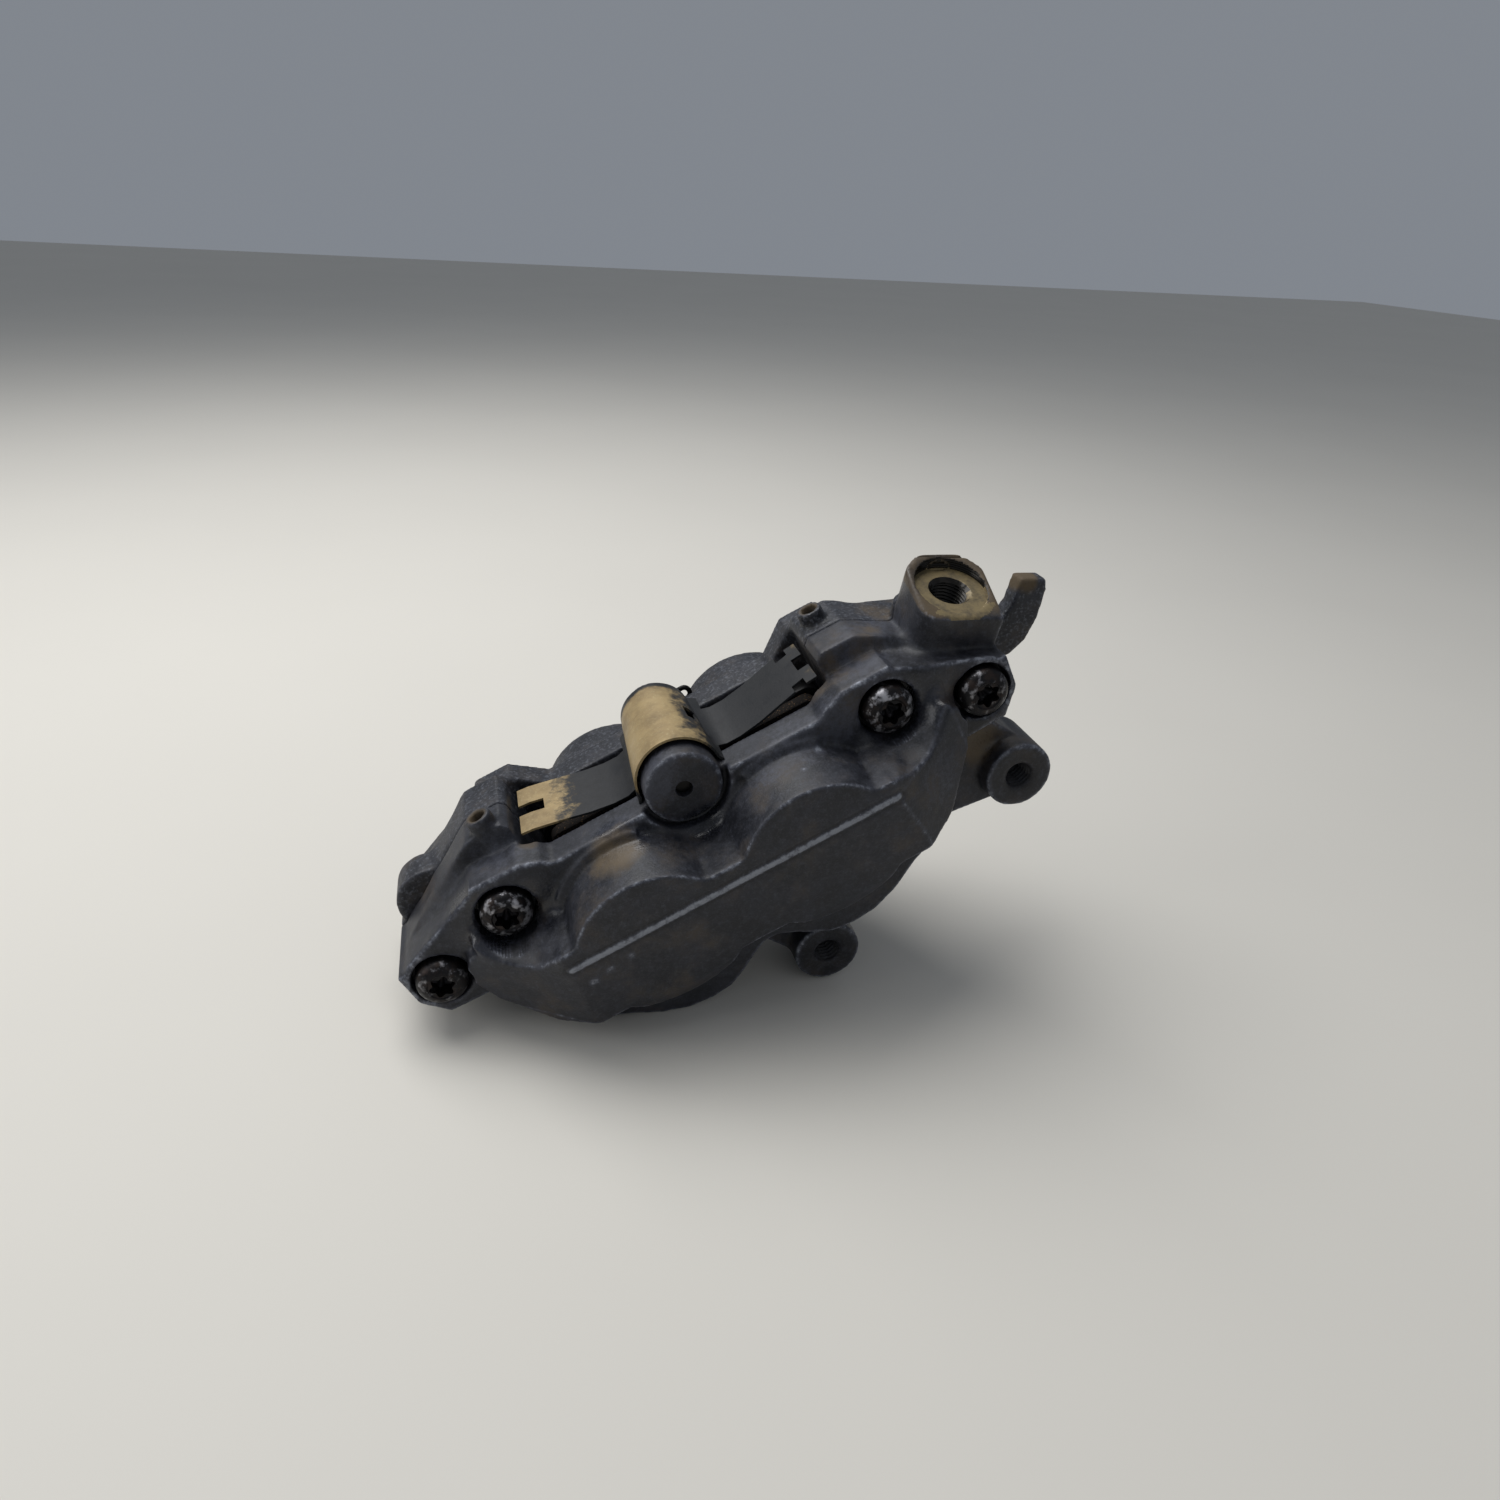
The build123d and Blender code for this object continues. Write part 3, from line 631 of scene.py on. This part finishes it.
# Where brake fluid has left a gloss.
WET_SPOTS = (
    ((72, -15, -33), 8), ((70, -17, -28), 7), ((84, -9, 9), 10), ((75, -3, 10), 7), ((0, -20, -12), 8),
    ((-20, -24, -4), 9), ((-58, -22, -6), 12), ((-46, -24, -8), 9), ((62, -23, -9), 9), ((77, -22, -20), 9),
)


def lug_threads(sizes):
    """The lugs' blind threads, which open to a wider run-out behind the face."""
    minor, runout, reach = 3.4, 4.3, LUG_FACE - LUG_BACK
    bore = [(minor, -1.0), (minor, reach - 0.9), (runout, reach), (runout, 21)]
    points, faces = revolve(bore, 64, (-1.0, reach - 0.9, sizes.lug_pitch, 0.62))
    return [(moved(points, outward(lug, LUG_BACK)), faces) for lug in (UPPER_LUG, LOWER_LUG)]


def inlet_bore(sizes):
    """The inlet's thread, its flat seat and the counterbore, whose wall keeps the tool's rings."""
    rings = [(SEAT_RADIUS + 0.16 * (k % 2), 0.3 + 0.3 * k) for k in range(14)]
    bore = [(4.5, -10.0), (4.5, -1.0), (5.5, 0.0), (SEAT_RADIUS, 0.02), *rings, (SEAT_RADIUS, 8.0)]
    points, faces = revolve(bore, 96, (-10.0, -1.0, sizes.inlet_pitch, 0.5))
    return [(moved(points, aimed(INLET_SEAT, INLET_AXIS)), faces)]


def inlet_crown():
    """What is cut off above the inlet boss's sloping top and round its back."""
    front, run, rise, half, inner, outer = 11.2, 22.0, 3.6, 15, 11.9, 21.0
    base = aimed(INLET_SEAT, INLET_AXIS)
    slope = Matrix.Rotation(math.atan2(rise, run), 4, "X")
    corners = ((-half, -half), (half, -half), (half, half), (-half, half))
    block = [(x, y, z) for z in (0.0, 9.0) for x, y in corners]
    sides = [(0, 1, 2, 3), (7, 6, 5, 4), (0, 4, 5, 1), (1, 5, 6, 2), (2, 6, 7, 3), (3, 7, 4, 0)]
    top = base @ Matrix.Translation((0, -front, -0.1)) @ slope @ Matrix.Translation((0, front, 0))
    turns = [math.radians(a) for a in range(0, 181, 5)]
    rim = [(r * math.cos(a), r * math.sin(a)) for r, way in ((inner, 1), (outer, -1)) for a in turns[::way]]
    points, faces = prism(rim, -8.0, 9.0)
    return [(moved(block, top), sides), (moved(points, base @ Matrix.Rotation(-math.pi / 2, 4, "X")), faces)]


def post_holes():
    """The stepped holes down the posts."""
    points, faces = revolve([(1.9, 0), (1.9, 5.2), (2.3, 5.8), (2.3, 7.0)], 32)
    return [(moved(points, aimed((x, y, 7.0), (0, 0, 1))), faces) for x, y in POSTS]


def bolt_pockets():
    """The pockets that the bolts' heads sit in, flared near the seat."""
    points, faces = revolve([(7.5, 0.0), (7.5, 4.4), (8.1, 5.4), (8.1, 24)], 72)
    places = [(side * x, z) for x, z in (INNER_BOLT, OUTER_BOLT) for side in (-1, 1)]
    return [(moved(points, outward(place, BOLT_SEAT)), faces) for place in places]


def cast_surface(mesh):
    """Rounds a gridded casting's edges, widely in the soft zones, and raises lips beside the crease."""
    edges, count = edges_of(mesh)
    points = points_of(mesh)
    soft = spots(points, SOFT_ZONES, 0.5, 1.0)
    all_over, in_zones = 4, 60
    for turn in range(in_zones):
        share = 0.5 if turn < all_over else 0.5 * soft[:, None]
        points = points + (neighbour_mean(points, edges, count) - points) * share
    front = smooth_step(30, 36, -points[:, 1])
    beside = near_line(points, *CREASE)
    points[:, 1] += 0.34 * front * np.exp(-(((beside - 1.5) / 0.55) ** 2))
    mesh.vertices.foreach_set("co", moved(points, PLACE).ravel())
    mesh.update()


def cast_marks(mesh, grid):
    """Stores where a casting is worn, dusty, wet and pale, and where painted shade darkens it, from its
    curvature and places; pale holds chalky wear and painted light on upward-facing tops.
    """
    edges, count = edges_of(mesh)
    points = points_of(mesh)
    normals = np.zeros(len(mesh.vertices) * 3)
    mesh.vertices.foreach_get("normal", normals)
    normals = normals.reshape(-1, 3) @ np.array(TURN)
    pull = neighbour_mean(points, edges, count) - points
    bend = -np.einsum("ij,ij->i", pull, normals)[:, None] / grid ** 2
    for _ in range(3):
        bend = 0.4 * bend + 0.6 * neighbour_mean(bend, edges, count)
    bend = bend[:, 0]
    outboard = smooth_step(8, 20, -points[:, 1])
    wear = 0.62 * smooth_step(0.05, 0.15, bend) * (0.3 + 0.7 * outboard)
    lines = [(*CREASE, 1.5, 0.95), *EDGES]
    for ridge, _ in (RIGHT_SLOPE, LEFT_SLOPE):
        line = [(x, -depth, z) for x, depth, z in ridge]
        lines += [(start, end, 1.0, 0.42) for start, end in zip(line, line[1:])]
    for start, end, width, amount in lines:
        fade = smooth_step(0.3 * width, width, near_line(points, start, end))
        wear = np.maximum(wear, amount * (1 - fade))
    height, away = from_inlet(points)
    rim_dust = 0.75 * smooth_step(-0.6, 0.4, height) * (away < 15)
    # Darkened spots: partly an oily film, partly painted shade.
    oil_and_painted_shade = spots(points, OIL_AND_SHADE_SPOTS, 0.3, 1.0)
    set_attribute(mesh, "wear", np.maximum(wear, spots(points, SCUFFS, 0.2, 1.0, 0.72)))
    # Painted shade from concave bends, joined with the darkened spots in one mask.
    set_attribute(mesh, "painted_shade_and_oil", np.maximum(smooth_step(0.02, 0.14, -bend) * 0.8, oil_and_painted_shade))
    set_attribute(mesh, "dust", np.maximum(spots(points, DUST_SPOTS, 0.3, 1.2), rim_dust))
    set_attribute(mesh, "wet", spots(points, WET_SPOTS, 0.5, 1.0))
    # Pale spots: chalky wear, with painted light on upward-facing tops.
    set_attribute(mesh, "pale", spots(points, CHALK_AND_TOP_LIGHT_SPOTS, 0.3, 1.2))


def turned_faces(mesh):
    """Gives the inlet's seat and front lip one turned finish, and its wall and thread the other."""
    enamel, stained, oily = 0, 1, 2
    flat = np.zeros(len(mesh.polygons) * 3)
    mesh.polygons.foreach_get("center", flat)
    centres = moved(flat.reshape(-1, 3), UNPLACE)
    height, away = from_inlet(centres)
    ahead = INLET_SEAT.y - centres[:, 1]
    inside = (away < 9.52) & (height > -10.3) & (height < 4.5)
    seat = (away > 5.2) & (height > -0.9) & (height < 0.12) | (ahead > 0) & (abs(height) < 0.5)
    lip = (away < 11.6) & (abs(height) < 0.55) & (ahead > 6.0)
    chosen = np.where(inside, np.where(seat, stained, oily), enamel)
    mesh.polygons.foreach_set("material_index", np.where(lip, stained, chosen).astype(np.int32))


def casting(name, node, rough_cuts, extras, cuts, materials):
    """Copies a CAD half, joins cast detail to it, rounds it as a sand casting and machines it."""
    grid = bpy.context.scene.caliper_sizes.grid
    obj = frame["nodes"][node].copy()
    obj.data = obj.data.copy()
    obj.name, obj.data.name = name, name
    for key in list(obj.keys()):
        del obj[key]
    obj.parent = None
    bpy.context.scene.collection.objects.link(obj)
    obj.data.materials.clear()
    welded(obj.data)
    for cut in rough_cuts:
        carve(obj, cut)
    if extras:
        added(obj, joined(extras))
    remesh = obj.modifiers.new("grid", "REMESH")
    remesh.mode, remesh.voxel_size = "VOXEL", grid / 1000.0
    applied(obj)
    if len(obj.data.polygons) < 20000:
        raise RuntimeError(f"the grid of {name} is too coarse")
    cast_surface(obj.data)
    for cut in cuts:
        carve(obj, joined(cut))
    cast_marks(obj.data, grid)
    for material in materials:
        obj.data.materials.append(material)
    turned_faces(obj.data)
    return finished(obj, materials[0], "caliper", "casting", node, sharp=42)


def turned_finishes():
    """The inlet's stained seat and its oily wall, made once for both halves."""
    c = bpy.context.scene.caliper_colours
    stained, oily = "fluid-stained turned aluminium", "oil-blackened turned aluminium"
    seat = bpy.data.materials.get(stained) or turned_aluminium(stained, c.seat, linear("#4b4335"))
    # Turned aluminium under an oil film: near black and glossy.
    wall = bpy.data.materials.get(oily) or plain_finish(oily, "#1d1a16", 0.6, (0.16, 0.34), 0.5, 0.02)
    return seat, wall


class CALIPER_OT_outboard_half(bpy.types.Operator):
    """Builds the outboard casting with its lugs, bolt pockets and inlet"""

    bl_idname = "caliper.outboard_half"
    bl_label = "Outboard half"

    def execute(self, context):
        sizes = context.scene.caliper_sizes
        boss = outward((0, 0), BOSS_FACE)
        left_collar = sector((-22.5, -26.5), 24.6, 72, 152, 18.0, 23.4)
        right_collar = sector((22.5, -26.5), 24.4, 62, 112, 18.0, 23.0)
        points, faces = revolve([(9.7, -10.0), (9.7, -0.5), (9.3, 0.0)], 96)
        drum = moved(points, boss), faces
        points, faces = revolve([(11.5, -3.2), (11.5, 4.0)], 96)
        groove = moved(points, boss), faces
        points, faces = revolve([(2.1, -2.1), (2.1, -0.3), (2.5, 0.4), (2.5, 2.0)], 48)
        punch_hole = moved(points, boss), faces
        extras = [left_collar, right_collar, ramp(*RIGHT_SLOPE), ramp(*LEFT_SLOPE), drum]
        cuts = [lug_threads(sizes), inlet_bore(sizes), [post_holes()[0], punch_hole], bolt_pockets()]
        enamel = charcoal_enamel("charcoal enamel on sand-cast aluminium", 0.55, 0.07, 0.05)
        materials = [enamel, *turned_finishes()]
        casting("outboard_casting", "outboard_half", [groove, *inlet_crown()], extras, cuts, materials)
        return {"FINISHED"}


class CALIPER_OT_inboard_half(bpy.types.Operator):
    """Builds the inboard casting with its post and locating finger"""

    bl_idname = "caliper.inboard_half"
    bl_label = "Inboard half"

    def execute(self, context):
        cuts = [inlet_bore(context.scene.caliper_sizes), [post_holes()[1]]]
        enamel = charcoal_enamel("charcoal enamel on coarse sand-cast aluminium", 0.9, 0.14, 0.22)
        materials = [enamel, *turned_finishes()]
        casting("inboard_casting", "inboard_half", inlet_crown(), [], cuts, materials)
        return {"FINISHED"}


# ---- bridge bolts ------------------------------------------------------------------------------------
def star(radius, low, high, steps=72):
    """A six-lobed prism along Z with a pointed floor."""
    rings = []
    for h, scale in ((low - 0.9, 0.45), (low, 1.0), (high, 1.0)):
        for k in range(steps):
            angle = 2 * math.pi * k / steps
            r = scale * radius * (0.86 + 0.14 * math.cos(6 * angle))
            rings.append((r * math.cos(angle), r * math.sin(angle), h))
    points = rings + [(0, 0, low - 0.9), (0, 0, high)]
    faces = []
    for row in range(2):
        for k in range(steps):
            n = (k + 1) % steps
            faces.append((row * steps + k, row * steps + n, (row + 1) * steps + n, (row + 1) * steps + k))
    for k in range(steps):
        n = (k + 1) % steps
        faces.append((3 * steps, n, k))
        faces.append((3 * steps + 1, 2 * steps + k, 2 * steps + n))
    return points, faces


class CALIPER_OT_bridge_bolts(bpy.types.Operator):
    """Builds the bridge bolts with their six-lobed recesses"""

    bl_idname = "caliper.bridge_bolts"
    bl_label = "Bridge bolts"

    def execute(self, context):
        sizes = context.scene.caliper_sizes
        head = sizes.head_radius
        shank = [(0.0, -34.0), (3.2, -34.0), (4.0, -33.2), (4.0, 0.0)]
        skirt = [(head - 0.3, 0.0), (head, 0.3), (head, 4.9)]
        dome = [(head - 0.25, 6.0), (head - 0.85, 6.95), (head - 1.7, 7.6), (head - 2.5, 7.9)]
        crown = [(3.7, 7.96), (3.4, 7.7), (0.0, 7.7)]
        bolt, bolt_faces = revolve(shank + skirt + dome + crown, 96)
        recess, recess_faces = star(sizes.recess_radius, 3.9, 9.0)
        rubs = {INNER_BOLT: 0.5, OUTER_BOLT: 0.24}
        places = [(side * x, z, rubs[x, z]) for x, z in (INNER_BOLT, OUTER_BOLT) for side in (-1, 1)]
        bodies, cuts = [], []
        for k, (x, z, _) in enumerate(places):
            seat = outward((x, z), BOLT_SEAT) @ Matrix.Rotation(0.43 * k, 4, "Z")
            bodies.append((moved(bolt, seat), bolt_faces))
            cuts.append((moved(recess, seat), recess_faces))
        obj = new_object("bridge_bolts_finished", *joined(bodies))
        carve(obj, joined(cuts))
        points = points_of(obj.data)
        top = smooth_step(21.6, 23.6, -points[:, 1])
        wear = np.zeros(len(points))
        for x, z, rub in places:
            away = np.hypot(points[:, 0] - x, points[:, 2] - z)
            wear = np.maximum(wear, smooth_step(3.3, 4.2, away) * (away < 7) * top * rub)
        set_attribute(obj.data, "wear", wear)
        finished(obj, black_oxide_steel(), "caliper", "bolt_steel", "bridge_bolts", sharp=32)
        return {"FINISHED"}


# ---- pad spring, pin and clip ---------------------------------------------------------------------------
def spring_path(v):
    """The sheet's X and Z points across the caliper at a share v of its width, outboard to inboard."""
    radius = 10.8 - 1.6 * v
    arch = [(radius * math.cos(a), radius * math.sin(a)) for a in np.linspace(math.pi, 0, 41)]
    cap = [(x, max(z, 0.0) + 0.55) for x, z in arch]
    right = [
        (11.6, -1.0), (14.0, -1.75), (18.0, -1.7), (24.0, -0.7),
        (30.0, 0.9), (35.0, 2.1), (38.5, 2.9), (41.6, 3.2),
    ]
    left = [(-x, z) for x, z in reversed(right)]
    return left + cap + right


def spring_open(x, y, z):
    """Whether the sheet is cut away at a point: beside its wings, in its forked ends and its slot."""
    beside_wing = abs(x) > 11.2 and abs(y) > 10.4
    left_fork = x < -33.5 and abs(y) < 2.4
    right_fork = x > 33.5 and (abs(y) > 7.5 and x < 38 or abs(y) < 1.6 and x > 38)
    slot = x > 7.0 and 2.6 < z < 6.4 and -3.0 < y < 3.6
    return beside_wing or left_fork or right_fork or slot


def spring_tan(x, y, z):
    """How tan the sheet is at a point: tan with baked dust over the cap and at the tips, darker towards the
    cap's foot, its right side and its inboard end.
    """
    fade = smooth_step(0.5, 5.0, z) * (1.0 - 0.55 * smooth_step(3.0, 8.5, x))
    fade *= 1.0 - 0.8 * smooth_step(13.0, 16.5, y)
    cap = fade if z > 1.2 and abs(x) < 11.5 else 0.0
    tip = 0.95 * smooth_step(26.0, 34.0, -x) if x < 0 else 0.25 * smooth_step(36.0, 41.0, x)
    return max(cap, tip)


class CALIPER_OT_pad_spring(bpy.types.Operator):
    """Builds the pad spring: a tapered half-round cap and two winged ends"""

    bl_idname = "caliper.pad_spring"
    bl_label = "Pad spring"

    def execute(self, context):
        rows, half_width = 71, 17.1
        lines = []
        for j in range(rows):
            v = j / (rows - 1)
            lines.append([(x, 2 * half_width * v - half_width, z) for x, z in spring_path(v)])
        columns = len(lines[0])
        faces = []
        for j in range(rows - 1):
            y = 0.5 * (lines[j][0][1] + lines[j + 1][0][1])
            for i in range(columns - 1):
                (x0, _, z0), (x1, _, z1) = lines[j][i : i + 2]
                if not spring_open(0.5 * (x0 + x1), y, 0.5 * (z0 + z1)):
                    k = j * columns + i
                    faces.append((k, k + 1, k + columns + 1, k + columns))
        points = [point for line in lines for point in line]
        used = sorted({k for face in faces for k in face})
        place = {k: n for n, k in enumerate(used)}
        kept = [points[k] for k in used]
        obj = new_object("pad_spring_sheet", kept, [tuple(place[k] for k in face) for face in faces])
        set_attribute(obj.data, "tan", [spring_tan(*point) for point in kept])
        thick = obj.modifiers.new("sheet", "SOLIDIFY")
        thick.thickness, thick.offset = context.scene.caliper_sizes.sheet / 1000.0, 0.0
        applied(obj)
        finished(obj, browned_sheet(), "caliper", "spring_steel", "pad_spring", sharp=40)
        return {"FINISHED"}


def eased_copy(node, name, width, material, body, slot):
    """A copy of a simple CAD part with its edges eased by a width in millimetres."""
    source = frame["nodes"][node]
    mesh = source.data.copy()
    mesh.materials.clear()
    welded(mesh, flat_angle=1.5)
    mesh.name = name
    obj = bpy.data.objects.new(name, mesh)
    bpy.context.scene.collection.objects.link(obj)
    bevel = obj.modifiers.new("eased", "BEVEL")
    bevel.width, bevel.segments, bevel.limit_method = width / 1000.0, 2, "ANGLE"
    bevel.angle_limit, bevel.use_clamp_overlap = math.radians(40), True
    applied(obj)
    return finished(obj, material, body, slot, node)


class CALIPER_OT_pin(bpy.types.Operator):
    """Finishes the pad pin and its clip"""

    bl_idname = "caliper.pin"
    bl_label = "Pad pin and clip"

    def execute(self, context):
        # Drawn steel under old oil: near black with a low sheen.
        steel = plain_finish("oil-blackened spring steel", "#1b1a19", 0.8, (0.35, 0.5), 0.5, 0.01)
        for node in ("pad_pin", "pin_clip"):
            coated(node, steel)
        return {"FINISHED"}


class CALIPER_OT_pads(bpy.types.Operator):
    """Builds the pads: coated backing plates, linings and shims"""

    bl_idname = "caliper.pads"
    bl_label = "Pads"

    def execute(self, context):
        # Powder coat: an even satin black with a slight orange peel.
        coating = plain_finish("powder-coated steel", "#161617", 0.0, (0.45, 0.6), 0.4, 0.04)
        lining = sintered_lining()
        # Rolled stainless: a warm grey metal, smooth and half bright.
        shim = plain_finish("stamped stainless shim", "#77756f", 0.9, (0.35, 0.5), 0.4, 0.01)
        for side in ("outboard", "inboard"):
            body = f"{side}_pad"
            eased_copy(f"{side}_backing", f"{side}_backing_plate", 0.35, coating, body, "plate_steel")
            eased_copy(f"{side}_lining", f"{side}_lining_block", 0.3, lining, body, "lining")
            coated(f"{side}_shim", shim)
        return {"FINISHED"}


class CALIPER_OT_pistons(bpy.types.Operator):
    """Finishes the pistons and their seals"""

    bl_idname = "caliper.pistons"
    bl_label = "Pistons and seals"

    def execute(self, context):
        # Hard-anodised aluminium: a dull warm grey with a soft sheen.
        metal = plain_finish("hard-anodised turned aluminium", "#7d7a74", 0.6, (0.3, 0.42), 0.5, 0.02)
        # Moulded rubber: matte black.
        rubber = plain_finish("moulded EPDM rubber", "#1a1a1b", 0.0, (0.6, 0.75), 0.5, 0.03)
        for side in ("outboard", "inboard"):
            for end in ("left", "right"):
                node, body = f"{side}_piston_{end}", f"{side}_{end}_piston"
                eased_copy(node, f"{node}_turned", 0.3, metal, body, "piston_metal")
        for node in frame["nodes"]:
            if node.endswith("_seals") or node == "crossover_ring":
                coated(node, rubber)
        return {"FINISHED"}


class CALIPER_OT_bleed_screw(bpy.types.Operator):
    """Builds the bleed screw and its cap"""

    bl_idname = "caliper.bleed_screw"
    bl_label = "Bleed screw and cap"

    def execute(self, context):
        # Yellow-passivated zinc: a pale straw metal.
        zinc = plain_finish("zinc-plated steel", "#b3a67e", 0.9, (0.3, 0.45), 0.4, 0.02)
        # Moulded rubber with a faint sheen from oil.
        rubber = plain_finish("moulded nitrile rubber", "#1c1c1d", 0.0, (0.55, 0.7), 0.4, 0.03)
        eased_copy("bleed_screw", "bleed_screw_plated", 0.25, zinc, "bleed", "bleed_steel")
        eased_copy("bleed_cap", "bleed_cap_moulded", 0.5, rubber, "bleed", "seal_rubber")
        return {"FINISHED"}


# ---- stage -------------------------------------------------------------------------------------------------
# The camera's place in the building frame, and the directions to the right and down its view.
EYE = (18.9, -224.9, 130.7)
RIGHT = (0.8822, -0.2518, -0.3980)
DOWN = (-0.4709, -0.4761, -0.7427)
LENS = 24.12
# Each light's name, offset from the caliper's middle and side in metres, and power in watts.
LIGHTS = (
    ("overhead softbox", (-0.22, 0.30, 0.75), 0.7, 7.0),
    ("left softbox", (-0.85, -0.05, 0.4), 0.5, 1.6),
    ("front fill", (0.35, -0.9, 0.55), 0.9, 0.5),
)


class CALIPER_OT_stage(bpy.types.Operator):
    """Builds the floor, the lights and the camera"""

    bl_idname = "caliper.stage"
    bl_label = "Stage"

    def execute(self, context):
        scene = context.scene
        mesh = bpy.data.meshes.new("floor")
        z, half = CAD_LOW.z - 0.00002, 3.0
        corners = [(-half, -half, z), (half, -half, z), (half, half, z), (-half, half, z)]
        mesh.from_pydata(corners, [], [(0, 1, 2, 3)])
        mesh.materials.append(studio_floor())
        floor = bpy.data.objects.new("floor", mesh)
        scene.collection.objects.link(floor)
        world = bpy.data.worlds.new("studio air")
        world.use_nodes = True
        air = world.node_tree.nodes["Background"]
        air.inputs["Color"].default_value = (0.82, 0.89, 1.0, 1)
        air.inputs["Strength"].default_value = 0.27
        scene.world = world
        middle = (CAD_LOW + CAD_HIGH) / 2
        for name, offset, size, power in LIGHTS:
            light = bpy.data.lights.new(name, "AREA")
            light.shape, light.size, light.energy = "SQUARE", size, power
            lamp = bpy.data.objects.new(name, light)
            lamp.location = middle + Vector(offset)
            lamp.rotation_euler = (middle - lamp.location).to_track_quat("-Z", "Y").to_euler()
            scene.collection.objects.link(lamp)
        right = (TURN @ Vector(RIGHT)).normalized()
        up = (TURN @ -Vector(DOWN)).normalized()
        back = right.cross(up).normalized()
        up = back.cross(right)
        data = bpy.data.cameras.new("camera")
        data.lens, data.sensor_width, data.clip_start = LENS, 36.0, 0.01
        camera = bpy.data.objects.new("camera", data)
        axes = Matrix((right, up, back)).transposed().to_4x4()
        camera.matrix_world = Matrix.Translation(PLACE @ Vector(EYE)) @ axes
        scene.collection.objects.link(camera)
        scene.camera = camera
        scene.view_settings.view_transform = "Standard"
        return {"FINISHED"}


OPERATORS = (
    CALIPER_OT_outboard_half,
    CALIPER_OT_inboard_half,
    CALIPER_OT_bridge_bolts,
    CALIPER_OT_pad_spring,
    CALIPER_OT_pin,
    CALIPER_OT_pads,
    CALIPER_OT_pistons,
    CALIPER_OT_bleed_screw,
    CALIPER_OT_stage,
)


class VIEW3D_PT_caliper(bpy.types.Panel):
    """Lists the caliper's sizes, colours and pieces"""

    bl_label = "Caliper"
    bl_space_type = "VIEW_3D"
    bl_region_type = "UI"
    bl_category = "Caliper"

    def draw(self, context):
        for group in (context.scene.caliper_sizes, context.scene.caliper_colours):
            box = self.layout.box()
            for name in group.__annotations__:
                box.prop(group, name)
        for operator in OPERATORS:
            self.layout.operator(operator.bl_idname)


CLASSES = (CaliperSizes, CaliperColours, *OPERATORS, VIEW3D_PT_caliper)


def register():
    for cls in CLASSES:
        bpy.utils.register_class(cls)
    bpy.types.Scene.caliper_sizes = bpy.props.PointerProperty(type=CaliperSizes)
    bpy.types.Scene.caliper_colours = bpy.props.PointerProperty(type=CaliperColours)


def unregister():
    del bpy.types.Scene.caliper_colours
    del bpy.types.Scene.caliper_sizes
    for cls in reversed(CLASSES):
        bpy.utils.unregister_class(cls)


def main():
    register()
    for operator in OPERATORS:
        group, name = operator.bl_idname.split(".")
        getattr(getattr(bpy.ops, group), name)()


if __name__ == "__main__":
    main()
